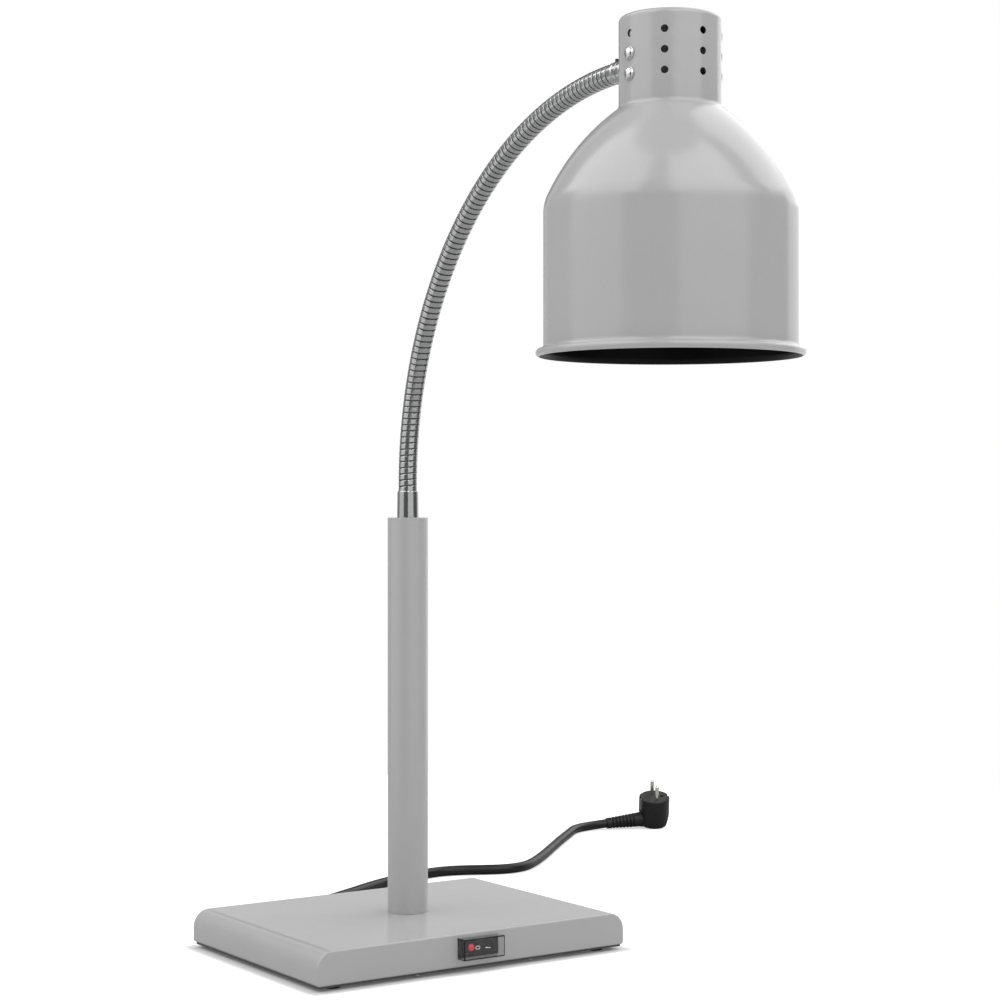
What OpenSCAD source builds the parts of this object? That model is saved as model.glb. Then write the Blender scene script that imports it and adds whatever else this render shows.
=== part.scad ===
// Food warming lamp: a weighted base, a column, a bendable wound neck and a vented shade with a heat bulb.
// Millimetres, +Z up, and -Y is the front. The shapes are drawn with the column's axis over the origin, and
// at_middle then moves them back, so that the origin is under the middle of the whole lamp without its cord.

/* [Base] */
// Width of the base, side to side
base_w = 330; // [316:1:400]
// Depth of the base, front to back
base_d = 238; // [232:1:300]
// Height of the sheet cover
cover_h = 30; // [29:0.5:45]
// Outer radius of the two bends along the sides
cover_bend_r = 16; // [8:0.5:18]
// Outer radius of the cover's lower corners
cover_toe_r = 3; // [2.5:0.5:6]
// Sheet thickness of the cover
cover_t = 1.5; // [1:0.1:2]
// Width of the return flange round the cover's open bottom
cover_lip = 11; // [10.5:0.1:12]
// Thickness of the bottom plate
plate_t = 2; // [1.5:0.1:3]
// Distance of the bottom plate's edge inside the cover's edge
plate_inset = 2.5; // [1:0.5:4]
// Distance of the steel ballast from the sides of the base
ballast_side_gap = 22.5; // [20:0.5:60]
// Distance of the steel ballast from the front and back of the base
ballast_end_gap = 36; // [36:0.5:48]
// Thickness of the steel ballast
ballast_t = 10; // [6:0.5:11]

/* [Feet and base screws] */
// Height of the rubber feet
foot_h = 3; // [2.5:0.5:8]
// Radius of the rubber feet
foot_r = 8; // [7:0.5:12]
// Distance of the feet's centres from the sides of the base
foot_inset_x = 23; // [20:1:40]
// Distance of the feet's centres from the front and back of the base
foot_inset_y = 16; // [16:0.5:22]
// Radius of the small machine screws' shanks
small_screw_r = 2; // [1.5:0.1:2.5]
// Radius of the small machine screws' heads
small_head_r = 3.5; // [3:0.1:3.6]
// Height of the small machine screws' heads
small_head_h = 1.5; // [1:0.1:2]
// Distance of the front and back cover screws from the middle
cover_screw_x = 61; // [40:1:100]
// Distance of the side cover screws from the middle
cover_screw_y = 58; // [40:1:80]

/* [Column] */
// Outer radius of the column
column_r = 19; // [18:0.5:24]
// Wall of the column
column_wall = 2; // [1.5:0.1:2.5]
// Length of the column above the cover
column_l = 371; // [250:1:500]
// Thickness of the threaded plug in the column's foot
column_plug_h = 12; // [8:0.5:20]
// Radius of the column bolts' shanks
bolt_r = 3; // [2.5:0.1:3]
// Distance of the column bolts from the column's axis
bolt_circle_r = 11; // [10.5:0.1:12]
// Number of column bolts
bolt_n = 3; // [3:1:4]
// Length of the bush in the column's top
bush_h = 16; // [12:0.5:25]

/* [Bendable neck] */
// Radius over the crests of the neck's winding
neck_r = 8.75; // [8:0.05:9]
// Depth of the grooves between the neck's turns
neck_groove = 1.1; // [0.6:0.1:1.5]
// Bore of the neck, for the lead
neck_bore_r = 5.4; // [4:0.1:5.6]
// Radius of the neck's bend, which is a quarter turn
bend_r = 334.5; // [280:0.5:400]
// Height of the lower ferrule above the column
ferrule_l = 25; // [18:0.5:40]
// Length of the upper ferrule behind the collar
upper_ferrule_l = 32; // [26:0.5:34]
// Radius of the ferrules at their wide ends
ferrule_r = 10.1; // [10.1:0.1:12]
// Straight stretch between the lower ferrule and the bend
neck_rise = 7; // [6:0.5:20]
// Straight stretch between the bend and the collar
arm_straight = 19.5; // [18:0.5:24]
// Radius of the ferrules' threaded tails
tail_r = 6; // [5:0.1:6.5]
// Bore of the ferrules' tails
tail_bore_r = 4; // [3.2:0.1:4.2]
// Angle of the bend between two joints of the neck
joint_step = 10; // [10:1:10]

/* [Shade and collar] */
// Outer radius of the collar
collar_r = 41; // [40:0.5:44]
// Height of the collar
collar_h = 72; // [66:0.5:80]
// Sheet thickness of the collar
collar_t = 1; // [0.8:0.1:1.4]
// Radius of the collar's top edge
collar_edge_r = 4; // [2:0.5:6]
// Height of the neck's axis above the collar's lower edge
arm_up = 39; // [37:0.5:42]
// Radius of the vent holes
vent_r = 3; // [2:0.1:4]
// Distance between the rows of vent holes
vent_pitch = 16; // [14:0.5:18]
// Number of vent columns round the collar
vent_n = 8; // [8:4:8]
// Outer radius of the shade's straight wall
shade_r = 101; // [98:0.5:115]
// Height of the shade from the rim's middle to its elbow
shade_wall_h = 119; // [100:0.5:140]
// Height of the shoulder from the elbow to the collar
shoulder_h = 75; // [66:0.5:85]
// Radius of the shoulder's arc
shoulder_r = 177.6; // [130:0.5:220]
// Radius of the elbow between wall and shoulder
elbow_r = 8; // [3:0.5:10]
// Sheet thickness of the shade
shade_t = 0.8; // [0.6:0.1:1.4]
// Height of the shade's upstand inside the collar
upstand_h = 10; // [6:0.5:12]
// Radius of the rim's rolled bead
bead_r = 3.1; // [2.5:0.1:4]

/* [Heat bulb and holder] */
// Radius of the bulb's widest part
bulb_r = 62.5; // [50:0.5:64]
// Length of the bulb's glass below the cap
bulb_l = 157; // [140:1:160]
// Glass thickness of the bulb
bulb_t = 1.2; // [0.8:0.1:2]
// Radius of the bulb's screw cap
cap_r = 13.1; // [13:0.05:13.2]
// Length of the bulb's screw cap
cap_l = 24; // [22:0.5:26]
// Radius of the ceramic lamp holder
holder_r = 21; // [19:0.5:23]
// Wall of the holder's threaded shell
shell_t = 0.5; // [0.3:0.1:0.6]
// Thickness of the holder's bracket
bracket_t = 2; // [1.5:0.1:2.5]
// Width of the holder's bracket
bracket_w = 14; // [13:0.5:16]
// Radius of the dome screws' shanks
dome_screw_r = 2.5; // [2:0.1:2.5]
// Radius of the dome screws' heads
dome_head_r = 5.6; // [5:0.1:6]
// Height of the dome screws' heads
dome_head_h = 3.4; // [2.5:0.1:4]

/* [Switch] */
// Width of the switch's bezel
bezel_w = 42.4; // [41:0.1:50]
// Height of the switch's bezel
bezel_h = 17.4; // [17:0.1:18.5]
// Thickness of the switch's bezel
bezel_t = 2; // [1.5:0.1:2.5]
// Height of the switch's middle above the cover's lower edge
switch_up = 17; // [16:0.5:18]
// Depth of the switch behind the front wall
switch_depth = 20; // [18:0.5:21]
// Length of the rocker
rocker_l = 32.8; // [30:0.1:33]
// Width of the rocker
rocker_w = 12; // [11:0.1:12]
// Tilt of the rocker to each side of its middle
rocker_tilt = 6; // [4:0.5:6]
// Radius of the pilot lens
lens_r = 3.3; // [2.5:0.1:4]
// Distance of the pilot lens from the rocker's middle
lens_x = 8; // [6:0.5:9]
// Depth of the clear splash cover
splash_d = 11.5; // [10:0.5:15]
// Wall of the clear splash cover
splash_t = 0.7; // [0.5:0.1:1]

/* [Cord and plug] */
// Diameter of the mains cord
cord_d = 11; // [9.5:0.5:12]
// Height of the cord's outlet above the cover's lower edge
outlet_up = 11; // [10.5:0.5:12]
// Distance of the cord's outlet left of the middle
outlet_left = 40; // [10:1:60]
// Length of the rubber boot behind the rear wall
boot_l = 31; // [25:1:31]
// Radius of the plug's body
plug_r = 19.5; // [19:0.1:19.5]
// Height of the plug's body, back to face
plug_h = 40; // [36:0.5:44]
// Radius of the plug's pins
pin_r = 2.4; // [2.35:0.01:2.4]
// Length of the plug's pins
pin_l = 19; // [18:0.5:19]
// Distance between the plug's pins
pin_gap = 19; // [18.5:0.5:19.5]
// Length of the plug's ribbed boot
plug_boot_l = 45; // [30:1:45]
// Number of ribs on the plug's boot
plug_ribs = 7; // [4:1:9]

/* [Hidden] */
$fn = 64;

// Clearance of parts that slip into each other
slip = 0.1;
// Clearance round a turning part
run = 0.3;
// Clearance of a trunnion in its bearing
bearing = 0.05;
// Clearance of a screw's thread in its hole
thread = 0.05;
// Clearance of a screw through a plain hole
screw_gap = 0.3;
// How far a cutting shape runs past the face that it cuts
past = 1;

plate_z = foot_h;
cover_z = plate_z + plate_t;
cover_top = cover_z + cover_h;
front_y = -base_d / 2;
rear_y = base_d / 2;
ballast_top = cover_top - cover_t;
ballast_z = ballast_top - ballast_t;
ballast_w = base_w - 2 * ballast_side_gap;
ballast_d = base_d - 2 * ballast_end_gap;
column_top = cover_top + column_l;

foot_xy = [base_w / 2 - foot_inset_x, base_d / 2 - foot_inset_y];
lip_mid = cover_lip / 2 + 0.7;
cover_screw_places = [
    for (sx = [-1, 1], sy = [-1, 1]) [sx * cover_screw_x, sy * (base_d / 2 - lip_mid)],
    for (sx = [-1, 1], sy = [-1, 1]) [sx * (base_w / 2 - lip_mid), sy * cover_screw_y]
];

// The neck's axis: up from the lower ferrule, a quarter turn, then level to the collar.
ferrule_top = column_top + ferrule_l;
bend_z = ferrule_top + neck_rise;
arm_z = bend_z + bend_r;
reach = bend_r + arm_straight + collar_r;
turn = bend_r * PI / 180;
rib_pitch = turn;
first_joint = 5;
joint_n = 9;
last_joint = first_joint + joint_step * (joint_n - 1);
// The last turns before the upper ferrule; the neck is plain inside it.
tip_turns_end = last_joint + 2;
neck_root_r = neck_r - neck_groove;
neck_end_r = neck_root_r - 0.6;
neck_plain_r = neck_root_r - 0.05;
// Half of the gap at a joint, at the bore and at the outside
joint_gap_in = 0.38;
joint_gap_out = 0.6;
ring_sides = 8;
bore_step = 2.5;

// The shade hangs from the collar, whose rear wall carries the neck.
collar_z = arm_z - arm_up;
collar_top = collar_z + collar_h;
collar_in_r = collar_r - collar_t;
elbow_z = collar_z - shoulder_h;
rim_z = elbow_z - shade_wall_h;
vent_rows = [for (k = [-1, 0, 1]) arm_z + k * vent_pitch];
screw_rows = [vent_rows[0], vent_rows[1]];

// The bracket's top carries the holder, and the holder carries the bulb.
bracket_top = collar_top - collar_t - 5;
bracket_x = sqrt(pow(collar_in_r, 2) - pow(bracket_w / 2, 2)) - slip;
holder_top = bracket_top - bracket_t;
holder_z = collar_z + 8;
cap_top = holder_z + cap_l;
shell_in_r = cap_r + 0.4;
shell_top = cap_top + 3;

switch_z = cover_z + switch_up;
rocker_y = front_y + 3;
pocket_l = rocker_l + 2.2;
pocket_w = rocker_w + 2 * run;
switch_in_w = pocket_w + 2.2;
switch_in_l = pocket_l + 2.2;
trunnion_r = 1;

cord_r = cord_d / 2;
outlet_z = cover_z + outlet_up;
boot_end = rear_y + boot_l;
boot_r = cord_r + 2.3;
// The clamp stands behind the ballast, and the cord's jacket ends in front of the clamp.
clamp_d = 12;
clamp_y = ballast_d / 2 + 2 + clamp_d / 2;
tail_end = clamp_y - 24;

// The cord's route on the table behind the base: x, y and the height above lying flat, for its middle line.
cord_route = [
    [-40, 150, 10.5], [-40, 160, 10], [-38.5, 170, 8.5], [-35, 180, 6.3], [-29.5, 189, 4], [-22, 197, 2],
    [-12.5, 203.5, 0.7], [-1, 209.5, 0.1], [12, 216, 0], [27, 223, 0], [42, 230, 0], [58, 238, 0],
    [74, 247, 0], [90, 256, 0], [107, 266, 0], [124, 275.5, 0], [141, 284, 0], [162, 293, 0],
    [186, 302, 0], [208, 308.5, 0], [230, 312.5, 0], [248, 311.5, 0], [266, 305.5, 0], [284, 296, 0],
    [303, 288, 0], [322, 286.5, 0], [340, 292.5, 0], [358, 305, 0], [378, 322, 0], [405, 347, 0],
    [442, 383, 0], [480, 420, 0], [514, 452, 0], [540, 476.5, 0], [550.9, 484.6, 0], [563.2, 490.1, 0.1],
    [576.5, 492.9, 0.35], [590, 492.7, 0.95], [603.2, 489.6, 2.03]
];
// The plug lies on the cone round its back, leaning by plug_lean, and the cord comes into it from the side.
plug_place = [665.55, 470.6];
plug_lean = 18;
plug_lean_dir = -124.23;
plug_turn = -19;
plug_back_r = 9;
plug_axis_z = 10.5;

steel = "lightsteelblue";
silver = "silver";
black = [0.12, 0.12, 0.13];

function vsum(v, k = 0) = k == len(v) ? 0 : v[k] + vsum(v, k + 1);

// A point on the neck's axis, the neck's direction there and its outward normal, at an angle along the bend.
// Angles below 0 and above 90 run along the straight ends by the same length.
function neck_point(a) =
    a < 0 ? [0, 0, bend_z + a * turn]
    : a <= 90 ? [0, bend_r * (cos(a) - 1), bend_z + bend_r * sin(a)]
    : [0, -bend_r - (a - 90) * turn, arm_z];
function neck_normal(a) = let(b = min(max(a, 0), 90)) [0, cos(b), sin(b)];
function neck_ring(a, r) = [
    for (k = [0 : ring_sides - 1])
        let(t = 360 * (k + 0.5) / ring_sides)
            neck_point(a) + r * (cos(t) * [1, 0, 0] + sin(t) * neck_normal(a))
];

// One stretch of wound neck as a tube: outer rings with their radii, then the bore's rings back again.
function neck_rings(outer, inner) = [
    for (o = outer) each neck_ring(o[0], o[1]),
    for (k = [len(inner) - 1 : -1 : 0]) each neck_ring(inner[k], neck_bore_r)
];
function loop_faces(rings) = [
    for (r = [0 : rings - 1], k = [0 : ring_sides - 1])
        let(
            a = r * ring_sides + k,
            b = r * ring_sides + (k + 1) % ring_sides,
            c = ((r + 1) % rings) * ring_sides + (k + 1) % ring_sides,
            d = ((r + 1) % rings) * ring_sides + k
        )
        each [[a, d, c], [a, c, b]]
];
module neck_stretch(outer, inner) {
    polyhedron(
        points = neck_rings(outer, inner),
        faces = loop_faces(len(outer) + len(inner)),
        convexity = 8
    );
}

// Rings of the turns between two angles, one turn a degree: a groove, then a crest.
function turns(a0, a1) = [
    for (a = [a0 : 1 : a1 - 0.5]) each [[a + 0.001, neck_root_r], [a + 0.5, neck_r]]
];
// The cut ends at a joint slope back from the bore, so that the neck can bend there.
function cut_start(a) = [[a + joint_gap_out / turn, neck_end_r], [a + 0.5, neck_r]];
function cut_end(a) = [[a, neck_root_r], [a + 0.5, neck_r], [a + 1 - joint_gap_out / turn, neck_end_r]];
function bore_rings(a0, a1) = [
    for (k = [0 : 1 : ceil((a1 - a0) / bore_step)]) min(a0 + k * bore_step, a1)
];

module neck_piece(n) {
    a0 = first_joint + (n - 1) * joint_step;
    a1 = a0 + joint_step;
    gap = joint_gap_in / turn;
    color(silver) neck_stretch(
        [each cut_start(a0), each turns(a0 + 1, a1 - 1), each cut_end(a1 - 1)],
        bore_rings(a0 + gap, a1 - gap)
    );
}
module neck_foot() {
    foot_in = -(ferrule_l - 5 + neck_rise) / turn;
    color(silver) neck_stretch(
        [[foot_in, neck_plain_r], [-1, neck_plain_r], each turns(-1, first_joint - 1), each cut_end(first_joint - 1)],
        [foot_in, -1, each bore_rings(0, first_joint - joint_gap_in / turn)]
    );
}
module neck_tip() {
    tip_end = 90 + (arm_straight - 5) / turn;
    color(silver) neck_stretch(
        [
            each cut_start(last_joint), each turns(last_joint + 1, tip_turns_end),
            [tip_turns_end + 0.001, neck_plain_r],
            [90, neck_plain_r], [tip_end, neck_plain_r]
        ],
        [each bore_rings(last_joint + joint_gap_in / turn, 90), tip_end]
    );
}

module at_arm_end() {
    translate([0, -reach + collar_r, arm_z]) rotate([-90, 0, 0]) children();
}

// A ferrule stands at z = 0: a tapered sleeve over the neck, and a threaded tail of the given length below.
module ferrule(sleeve_l, tail_l, bore_r) {
    wide = ferrule_r;
    narrow = ferrule_r - 0.35;
    chamfer = 1.2;
    color(steel) rotate_extrude() polygon([
        [tail_bore_r, -tail_l], [tail_r, -tail_l], [tail_r, 0], [wide, 0],
        [narrow, sleeve_l - chamfer], [narrow - 0.8, sleeve_l], [bore_r, sleeve_l],
        [bore_r, 4.8], [tail_bore_r, 4.8]
    ]);
}

module pan_screw(length) {
    translate([0, 0, -small_head_h]) cylinder(r = small_head_r, h = small_head_h);
    cylinder(r = small_screw_r, h = length);
}
module hex_nut(across, height, hole_r) {
    difference() {
        cylinder(r = across / sqrt(3), h = height, $fn = 6);
        translate([0, 0, -past]) cylinder(r = hole_r, h = height + 2 * past, $fn = 32);
    }
}

// The cover's end outline, drawn with its lower edge on the axis and drawn in by d.
module cover_outline(d) {
    w = base_w / 2 - d;
    top = cover_h - d;
    bend = cover_bend_r - d;
    toe = max(cover_toe_r - d, 0.5);
    translate([-(w - bend), d]) square([2 * (w - bend), top - d]);
    translate([-w, d + toe]) square([2 * w, top - bend - d - toe]);
    translate([-(w - toe), d]) square([2 * (w - toe), toe + past]);
    for (s = [-1, 1]) {
        intersection() {
            translate([s * (w - bend), top - bend]) circle(r = bend);
            translate([-w, top - bend]) square([2 * w, bend]);
        }
        translate([s * (w - toe), d + toe]) circle(r = toe, $fn = 32);
    }
}
module cover_prism(d) {
    translate([0, base_d / 2 - d, cover_z]) rotate([90, 0, 0])
        linear_extrude(height = base_d - 2 * d) cover_outline(d);
}

module base_cover() {
    color(silver) difference() {
        cover_prism(0);
        cover_prism(cover_t);
        translate([-(base_w / 2 - cover_lip), -(base_d / 2 - cover_lip), cover_z - past])
            cube([base_w - 2 * cover_lip, base_d - 2 * cover_lip, cover_t + 2 * past]);
        at_column_bolts() translate([0, 0, ballast_top - past])
            cylinder(r = bolt_r + screw_gap, h = cover_t + 2 * past);
        translate([0, 0, ballast_top - past]) cylinder(r = lead_hole_r, h = cover_t + 2 * past);
        for (p = cover_screw_places)
            translate([p[0], p[1], cover_z - past])
                cylinder(r = small_screw_r + thread, h = cover_t + 2 * past, $fn = 32);
        translate([-switch_in_l / 2 - slip, front_y - past, switch_z - switch_in_w / 2 - slip])
            cube([switch_in_l + 2 * slip, cover_t + 2 * past, switch_in_w + 2 * slip]);
        translate([-outlet_left, rear_y + past, outlet_z]) rotate([90, 0, 0])
            cylinder(r = boot_r + slip, h = cover_t + 2 * past);
    }
}
lead_hole_r = 6;
plug_bore_r = 5;

module bottom_plate() {
    w = base_w - 2 * plate_inset;
    d = base_d - 2 * plate_inset;
    color("darkgray") difference() {
        translate([-w / 2, -d / 2, plate_z]) cube([w, d, plate_t]);
        for (p = cover_screw_places)
            translate([p[0], p[1], plate_z - past])
                cylinder(r = small_screw_r + screw_gap, h = plate_t + 2 * past, $fn = 32);
        at_feet() translate([0, 0, plate_z - past])
            cylinder(r = small_screw_r + screw_gap, h = plate_t + 2 * past, $fn = 32);
    }
}
module at_feet() {
    for (sx = [-1, 1], sy = [-1, 1]) translate([sx * foot_xy[0], sy * foot_xy[1], 0]) children();
}
module rubber_feet() {
    color(black) at_feet() difference() {
        cylinder(r = foot_r, h = foot_h);
        translate([0, 0, -past]) cylinder(r = small_head_r + screw_gap, h = past + foot_h / 2 + 0.1);
        translate([0, 0, -past]) cylinder(r = small_screw_r + screw_gap, h = foot_h + 2 * past, $fn = 32);
    }
}
foot_screw_z = foot_h / 2 + 0.1;
foot_nut_h = 3.2;
module foot_screws() {
    color(steel) at_feet() translate([0, 0, foot_screw_z]) {
        translate([0, 0, -foot_screw_z * 0.6]) cylinder(r = small_head_r, h = foot_screw_z * 0.6);
        cylinder(r = small_screw_r, h = cover_z - foot_screw_z + foot_nut_h + 1);
    }
}
module foot_nuts() {
    color(steel) at_feet() translate([0, 0, cover_z]) hex_nut(7, foot_nut_h, small_screw_r + thread);
}
module cover_screws() {
    color(steel) for (p = cover_screw_places)
        translate([p[0], p[1], plate_z]) pan_screw(plate_t + cover_t + 3);
}

module at_column_bolts() {
    for (k = [0 : bolt_n - 1])
        rotate([0, 0, 90 + (k + 0.5) * 360 / bolt_n]) translate([bolt_circle_r, 0, 0]) children();
}
module ballast_plate() {
    color("dimgray") difference() {
        translate([-ballast_w / 2, -ballast_d / 2, ballast_z]) cube([ballast_w, ballast_d, ballast_t]);
        at_column_bolts() translate([0, 0, ballast_z - past])
            cylinder(r = bolt_r + screw_gap, h = ballast_t + 2 * past);
        translate([0, 0, ballast_z - past]) cylinder(r = lead_hole_r, h = ballast_t + 2 * past);
    }
}
module column_bolts() {
    color(steel) at_column_bolts() {
        translate([0, 0, ballast_z - 4.5]) cylinder(r = bolt_r + 2, h = 4.5);
        translate([0, 0, ballast_z]) cylinder(r = bolt_r, h = cover_top - ballast_z + column_plug_h - 2);
    }
}
module column_plug() {
    color("dimgray") difference() {
        translate([0, 0, cover_top]) cylinder(r = column_r - column_wall, h = column_plug_h);
        translate([0, 0, cover_top - past]) cylinder(r = plug_bore_r, h = column_plug_h + 2 * past);
        at_column_bolts() translate([0, 0, cover_top - past])
            cylinder(r = bolt_r + thread, h = column_plug_h + 2 * past);
    }
}
module column_tube() {
    color(silver) translate([0, 0, cover_top]) difference() {
        cylinder(r = column_r, h = column_l, $fn = 96);
        translate([0, 0, -past]) cylinder(r = column_r - column_wall, h = column_l + 2 * past, $fn = 96);
    }
}
module column_bush() {
    color(steel) translate([0, 0, column_top - bush_h]) difference() {
        cylinder(r = column_r - column_wall, h = bush_h);
        translate([0, 0, -past]) cylinder(r = tail_r + thread, h = bush_h + 2 * past);
    }
}
module lower_ferrule() {
    translate([0, 0, column_top]) ferrule(ferrule_l, bush_h + 2, neck_root_r + 0.1);
}

module switch_body() {
    body_y = front_y + switch_depth;
    color(black) difference() {
        union() {
            translate([-bezel_w / 2, front_y - bezel_t, switch_z - bezel_h / 2]) cube([bezel_w, bezel_t, bezel_h]);
            translate([-switch_in_l / 2, front_y - slip, switch_z - switch_in_w / 2])
                cube([switch_in_l, switch_depth + slip, switch_in_w]);
        }
        translate([-pocket_l / 2, front_y - bezel_t - past, switch_z - pocket_w / 2])
            cube([pocket_l, bezel_t + past + 9, pocket_w]);
        translate([0, rocker_y, switch_z - switch_in_w / 2 - past])
            cylinder(r = trunnion_r + bearing, h = switch_in_w + 2 * past, $fn = 32);
        for (k = [-1, 0, 1])
            translate([k * tab_gap - tab_w / 2 - slip / 2, body_y - 3, switch_z - tab_t / 2 - slip / 2])
            cube([tab_w + slip, 3 + past, tab_t + slip]);
    }
}
tab_gap = 11;
tab_w = 4.8;
tab_t = 0.8;
tab_l = 7;
module switch_tabs() {
    color("tan") for (k = [-1, 0, 1])
        translate([k * tab_gap - tab_w / 2, front_y + switch_depth - 2.9, switch_z - tab_t / 2])
            cube([tab_w, tab_l + 2.9, tab_t]);
}
// The rocker is drawn level, and stands tipped to its off side.
module tipped() {
    translate([0, rocker_y, switch_z]) rotate([0, 0, -rocker_tilt]) translate([0, -rocker_y, 0]) children();
}
module switch_rocker() {
    face = front_y - bezel_t;
    ends = face - 1.8;
    back = rocker_y + 2.2;
    half = rocker_l / 2;
    color(black) tipped() difference() {
        union() {
            translate([0, 0, -rocker_w / 2]) linear_extrude(height = rocker_w) polygon([
                [-half, ends], [0, face], [half - 3.2, ends + 0.3], [half - 2.6, ends - 0.5],
                [half - 1.6, ends - 0.5], [half, ends],
                [half, rocker_y - 1.5], [half - 7, back], [-half + 7, back], [-half, rocker_y - 1.5]
            ]);
            translate([0, rocker_y, -pocket_w / 2 - 0.8]) cylinder(r = trunnion_r, h = pocket_w + 1.6, $fn = 32);
        }
        translate([-lens_x, lens_seat, 0]) rotate([90, 0, 0]) cylinder(r = lens_r + bearing, h = 10, $fn = 48);
    }
}
lens_seat = front_y + 1;
module switch_lens() {
    face = front_y - bezel_t;
    lens_face = face - 1.8 * lens_x / (rocker_l / 2) - 0.3;
    color("red") tipped() translate([-lens_x, lens_seat, 0]) rotate([90, 0, 0]) {
        cylinder(r = lens_r, h = lens_seat - lens_face, $fn = 48);
        translate([0, 0, lens_seat - lens_face]) intersection() {
            translate([0, 0, -lens_r * 1.2]) sphere(r = lens_r * 1.562, $fn = 48);
            cylinder(r = lens_r, h = lens_r, $fn = 48);
        }
    }
}
module switch_splash_cover() {
    in_w = bezel_w + 2 * slip;
    in_h = bezel_h + 2 * slip;
    out_w = in_w + 2 * splash_t;
    out_h = in_h + 2 * splash_t;
    color([0.8, 0.85, 0.9, 0.4]) difference() {
        translate([-out_w / 2, front_y - splash_d, switch_z - out_h / 2]) cube([out_w, splash_d, out_h]);
        translate([-in_w / 2, front_y - splash_d + splash_t, switch_z - in_h / 2]) cube([in_w, splash_d, in_h]);
    }
}

block_w = 34;
block_d = 18;
block_h = 10;
block_x = 0;
block_y = ballast_d / 2 - 41;
block_step = 10;
module terminal_block() {
    color("ivory") difference() {
        translate([block_x - block_w / 2, block_y - block_d / 2, ballast_z - block_h])
            cube([block_w, block_d, block_h]);
        for (k = [-1, 0, 1])
            translate([block_x + k * block_step, block_y + block_d / 2 + past, lead_low]) rotate([90, 0, 0])
                cylinder(r = wire_r + slip, h = block_d + 2 * past, $fn = 32);
        for (k = [-1, 0, 1], s = [-1, 1])
            translate([block_x + k * block_step, block_y + s * 5, ballast_z - block_h - past])
                cylinder(r = 1.5 + slip, h = past + block_h / 2 - wire_r - 0.2, $fn = 24);
    }
}
wire_r = 1.4;
module terminal_screws() {
    color(steel) for (k = [-1, 0, 1], s = [-1, 1])
        translate([block_x + k * block_step, block_y + s * 5, ballast_z - block_h + 0.3])
            cylinder(r = 1.5, h = block_h / 2 - wire_r - 0.6, $fn = 24);
}
earth_x = 60;
earth_y = ballast_d / 2 - 23;
module earth_stud() {
    color("goldenrod") translate([earth_x, earth_y, ballast_z - 9]) cylinder(r = 2.5, h = 9, $fn = 32);
}
module earth_nut() {
    color("goldenrod") translate([earth_x, earth_y, ballast_z - 4]) hex_nut(8, 4, 2.5 + thread);
}
clamp_w = 30;
clamp_wall = 2;
module cord_clamp() {
    low = outlet_z - cord_r - clamp_wall;
    color(black) difference() {
        translate([-outlet_left - clamp_w / 2, clamp_y - clamp_d / 2, low])
            cube([clamp_w, clamp_d, clamp_seat - low]);
        translate([-outlet_left, clamp_y + clamp_d / 2 + past, outlet_z]) rotate([90, 0, 0])
            cylinder(r = cord_r + thread, h = clamp_d + 2 * past);
        for (s = [-1, 1]) translate([-outlet_left + s * clamp_hole, clamp_y, low - past])
            cylinder(r = 1.5 + slip, h = clamp_seat - low + 2 * past, $fn = 24);
    }
}
// The clamp is bolted up against the cover's top, behind the ballast.
clamp_seat = ballast_top;
clamp_hole = 11.5;
module clamp_screws() {
    low = outlet_z - cord_r - clamp_wall;
    color(steel) for (s = [-1, 1]) translate([-outlet_left + s * clamp_hole, clamp_y, low]) {
        translate([0, 0, -1.6]) cylinder(r = 2.8, h = 1.6, $fn = 32);
        cylinder(r = 1.5, h = clamp_seat - low, $fn = 24);
    }
}
// The cores fan out from the cord, turn just outside the block and go straight into its holes.
core_off = 2.8;
core_bend = 2.2;
core_in = 5;
module core(start, k, side) {
    mouth = block_y + side * block_d / 2;
    elbow = [block_x + k * block_step, mouth + side * core_bend, lead_low];
    bar(start, elbow, wire_r);
    translate(elbow) sphere(r = wire_r + 0.3, $fn = 32);
    bar(elbow, [elbow[0], mouth - side * core_in, lead_low], wire_r);
}
module cord_tail() {
    color(black) {
        translate([-outlet_left, boot_end, outlet_z]) rotate([90, 0, 0])
            cylinder(r = cord_r, h = boot_end - tail_end);
        for (k = [-1, 1]) core([-outlet_left + k * core_off, tail_end + 1, outlet_z], k, 1);
        bar([-outlet_left, tail_end + 1, outlet_z - core_off], [earth_x - 3.2, earth_y, ballast_z - 6], wire_r);
    }
}
module bar(a, b, r) {
    v = b - a;
    l = norm(v);
    translate(a) rotate([0, acos(v[2] / l), atan2(v[1], v[0])]) cylinder(r = r, h = l, $fn = 24);
}
// Rubber boot through the rear wall: a flange outside, a groove for the sheet and a lip inside.
module cord_boot() {
    color(black) translate([-outlet_left, rear_y, outlet_z]) rotate([-90, 0, 0]) rotate_extrude() polygon([
        [cord_r + thread, -cover_t - 2.2], [boot_r + 1.2, -cover_t - 2.2], [boot_r + 1.2, -cover_t - slip / 2],
        [boot_r, -cover_t - slip / 2], [boot_r, slip / 2], [boot_r + 1.6, slip / 2], [boot_r + 1.6, 2.4],
        [boot_r, 2.9], [cord_r + 1.3, boot_l], [cord_r + thread, boot_l]
    ]);
}
lead_r = 2.6;
lead_low = ballast_z - block_h / 2;
jacket_gap = 11;
module lamp_lead() {
    jacket_end = block_y - block_d / 2 - jacket_gap;
    color("white") {
        translate([0, 0, lead_low]) cylinder(r = lead_r, h = bend_z - lead_low, $fn = 32);
        translate([0, 0, lead_low]) sphere(r = lead_r, $fn = 32);
        bar([0, 0, lead_low], [0, jacket_end, lead_low], lead_r);
        for (k = [-1, 0, 1]) core([0, jacket_end - 1, lead_low], k, -1);
    }
}
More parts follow.
